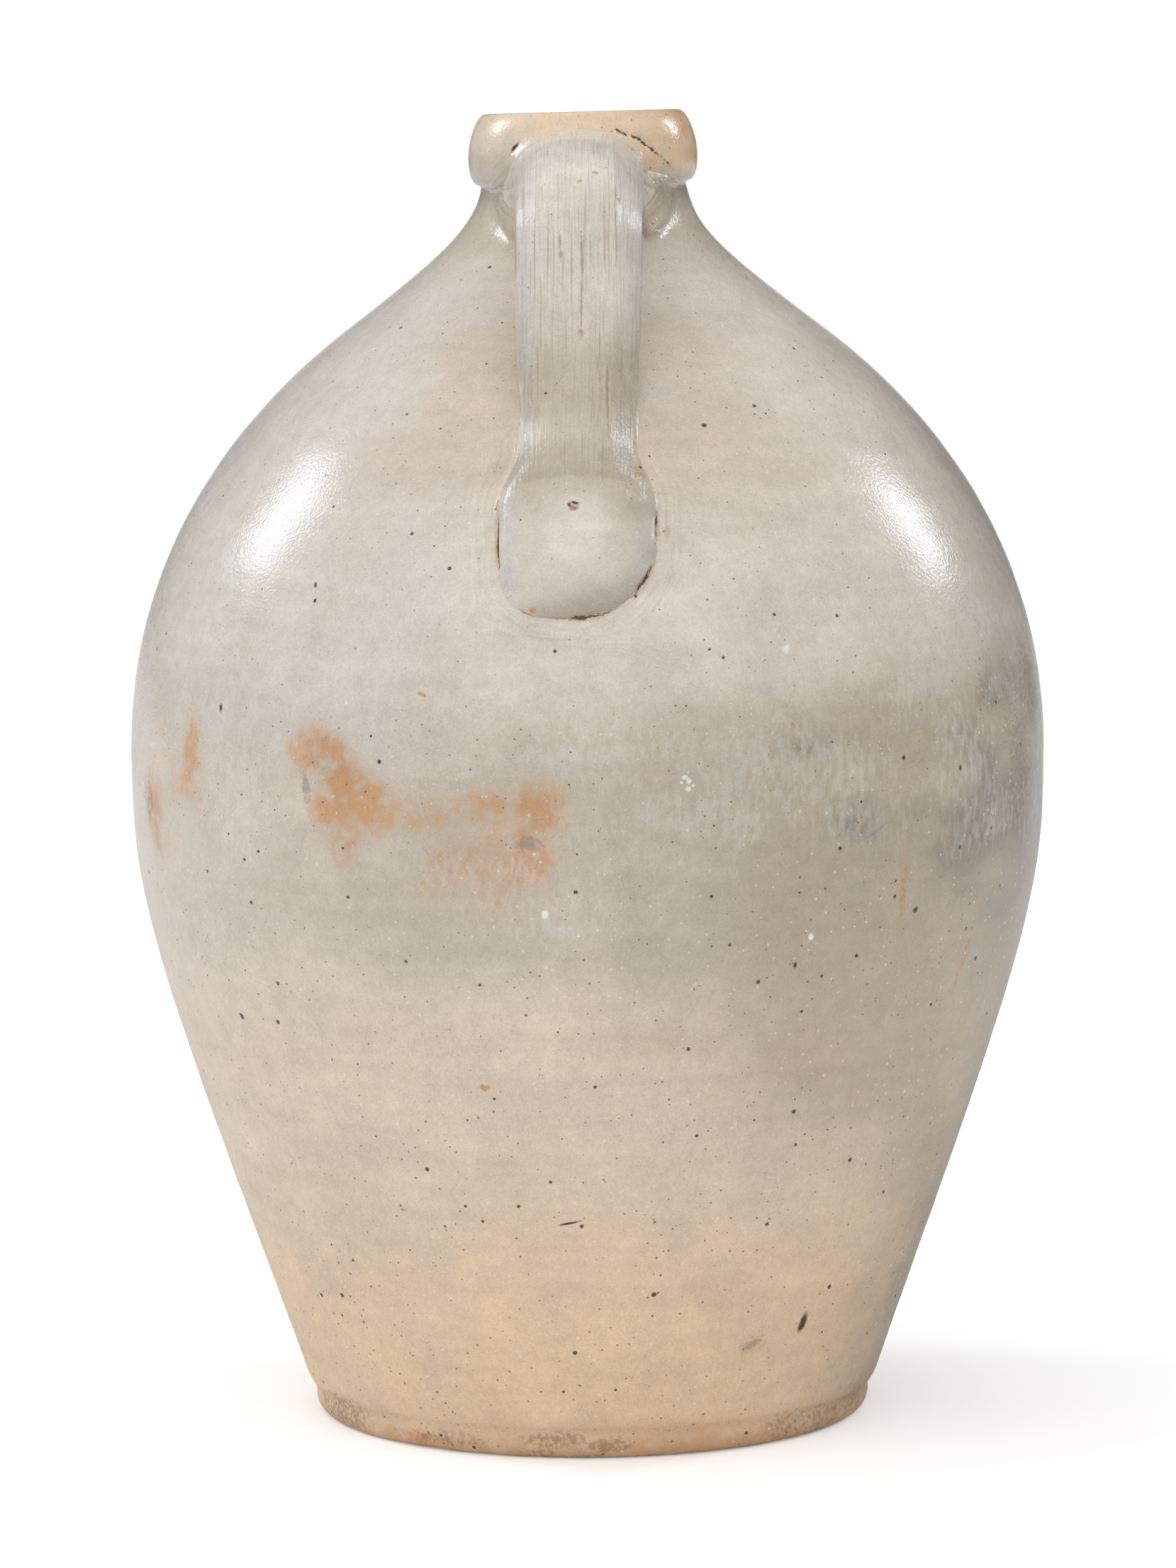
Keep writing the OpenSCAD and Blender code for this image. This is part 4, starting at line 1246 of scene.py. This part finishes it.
# %% [markdown]
# Fingers ran along the strap, and strokes of a wet finger went round the lug and down from the collar.
# The same two noises draw these lines in the relief and, more faintly, in the colour, because the glaze
# pooled in them. Each is drawn out along one of the strap's own directions.

# %% The fingers' lines and the smearing strokes
# Each set of lines: the attribute across them and their spacing in mm, the attribute along them and how
# much it is drawn out, and how many finer layers they have
LINES = {"fingers": ("strap_across", 0.75, "strap_along", 0.02, 3),
         "strokes": ("seam", 1.2, "lug_turn", 0.04, 2)}
lines = {}
for name, (over, cell, drawn, share_drawn, detail) in LINES.items():
    slow = node(tree, "Math", {0: amount[drawn], 1: share_drawn}, operation="MULTIPLY")
    laid = node(tree, "CombineXYZ", {0: amount[over], 1: slow})
    lines[name] = node(tree, "TexNoise", {"Vector": laid, "Scale": 1 / cell, "Detail": detail,
                                          "Roughness": 0.65})
brown = node(tree, "MapRange", {"Value": lines["fingers"], "From Min": 0.51, "From Max": 0.70,
                                "To Max": 0.7}, interpolation_type="SMOOTHSTEP")
brown = node(tree, "Math", {0: brown, 1: amount["strap"]}, operation="MULTIPLY")
colour = node(tree, "Mix", {0: brown, 6: colour, 7: linear("9a8a74")}, data_type="RGBA").outputs[2]
print("lines:", ", ".join(lines))

# %% Light and dark, all over
# Each pattern: the attribute that it stays within, if any, and how much lighter and darker it makes
SHADES = [(noises["clouds"], None, 0.30), (noises["blotches"], None, 0.24),
          (noises["grit"], None, 0.32), (noises["flecks"], None, 0.16),
          (noises["streaks"], None, 0.14), (lines["fingers"], "strap", 0.7),
          (lines["strokes"], "smear", 0.4)]
light = 1.0
for pattern, within, much in SHADES:
    shade = node(tree, "Math", {0: pattern, 1: much, 2: -0.5 * much}, operation="MULTIPLY_ADD")
    inside = amount[within] if within else 1.0
    light = node(tree, "Math", {0: shade, 1: inside, 2: light}, operation="MULTIPLY_ADD")
colour = node(tree, "HueSaturation", {"Color": colour, "Value": light})
print("patterns of light and dark:", len(SHADES))

# %% [markdown]
# The relief is the orange peel that salt leaves, about a cell a millimetre and some hundredths deep,
# and the lines of the fingers and the smearing. The glass is thick and bright on the shoulder and the
# handle, and thin and dull towards the foot, where the clay's own grit shows. The glaze is a plain
# glass over clay, so its reflections keep the colour of the light.

# %% The relief, the gloss and the shader
PEEL_CELL, PEEL_DEEP, LINE_DEEP = 0.85, 0.08, 0.38      # in mm
DULL, SHINE, MOTTLED, SPOILT = 0.5, 0.38, 0.16, 0.25    # shares of roughness
GLAZE_IOR = 1.54
peel = node(tree, "TexNoise", {"Vector": in_mm, "Scale": 1 / PEEL_CELL, "Detail": 1.0})
relief = node(tree, "Math", {0: peel, 1: PEEL_DEEP}, operation="MULTIPLY")
for name, within in (("fingers", "strap"), ("strokes", "smear")):
    within = node(tree, "Math", {0: amount[within], 1: LINE_DEEP}, operation="MULTIPLY")
    relief = node(tree, "Math", {0: lines[name], 1: within, 2: relief}, operation="MULTIPLY_ADD")
bumped = node(tree, "Bump", {"Height": relief, "Distance": MM, "Strength": 1.0})
dull = node(tree, "Math", {0: amount["gloss"], 1: -SHINE, 2: DULL}, operation="MULTIPLY_ADD")
dull = node(tree, "Math", {0: noises["blotches"], 1: MOTTLED, 2: dull}, operation="MULTIPLY_ADD")
for where_spoilt in (amount["dirt"], amount["bare"], crack):
    dull = node(tree, "Math", {0: where_spoilt, 1: SPOILT, 2: dull}, operation="MULTIPLY_ADD")
shader = node(tree, "BsdfPrincipled", {"Base Color": colour, "Roughness": dull, "IOR": GLAZE_IOR,
                                       "Normal": bumped})
node(tree, "OutputMaterial", {"Surface": shader})
for piece in (jug_body, jug_handle):
    piece.data.materials.append(glaze)
print("nodes of the glaze:", len(tree.nodes))

# %% The scene's settings
bpy.context.scene.view_settings.view_transform = "Standard"
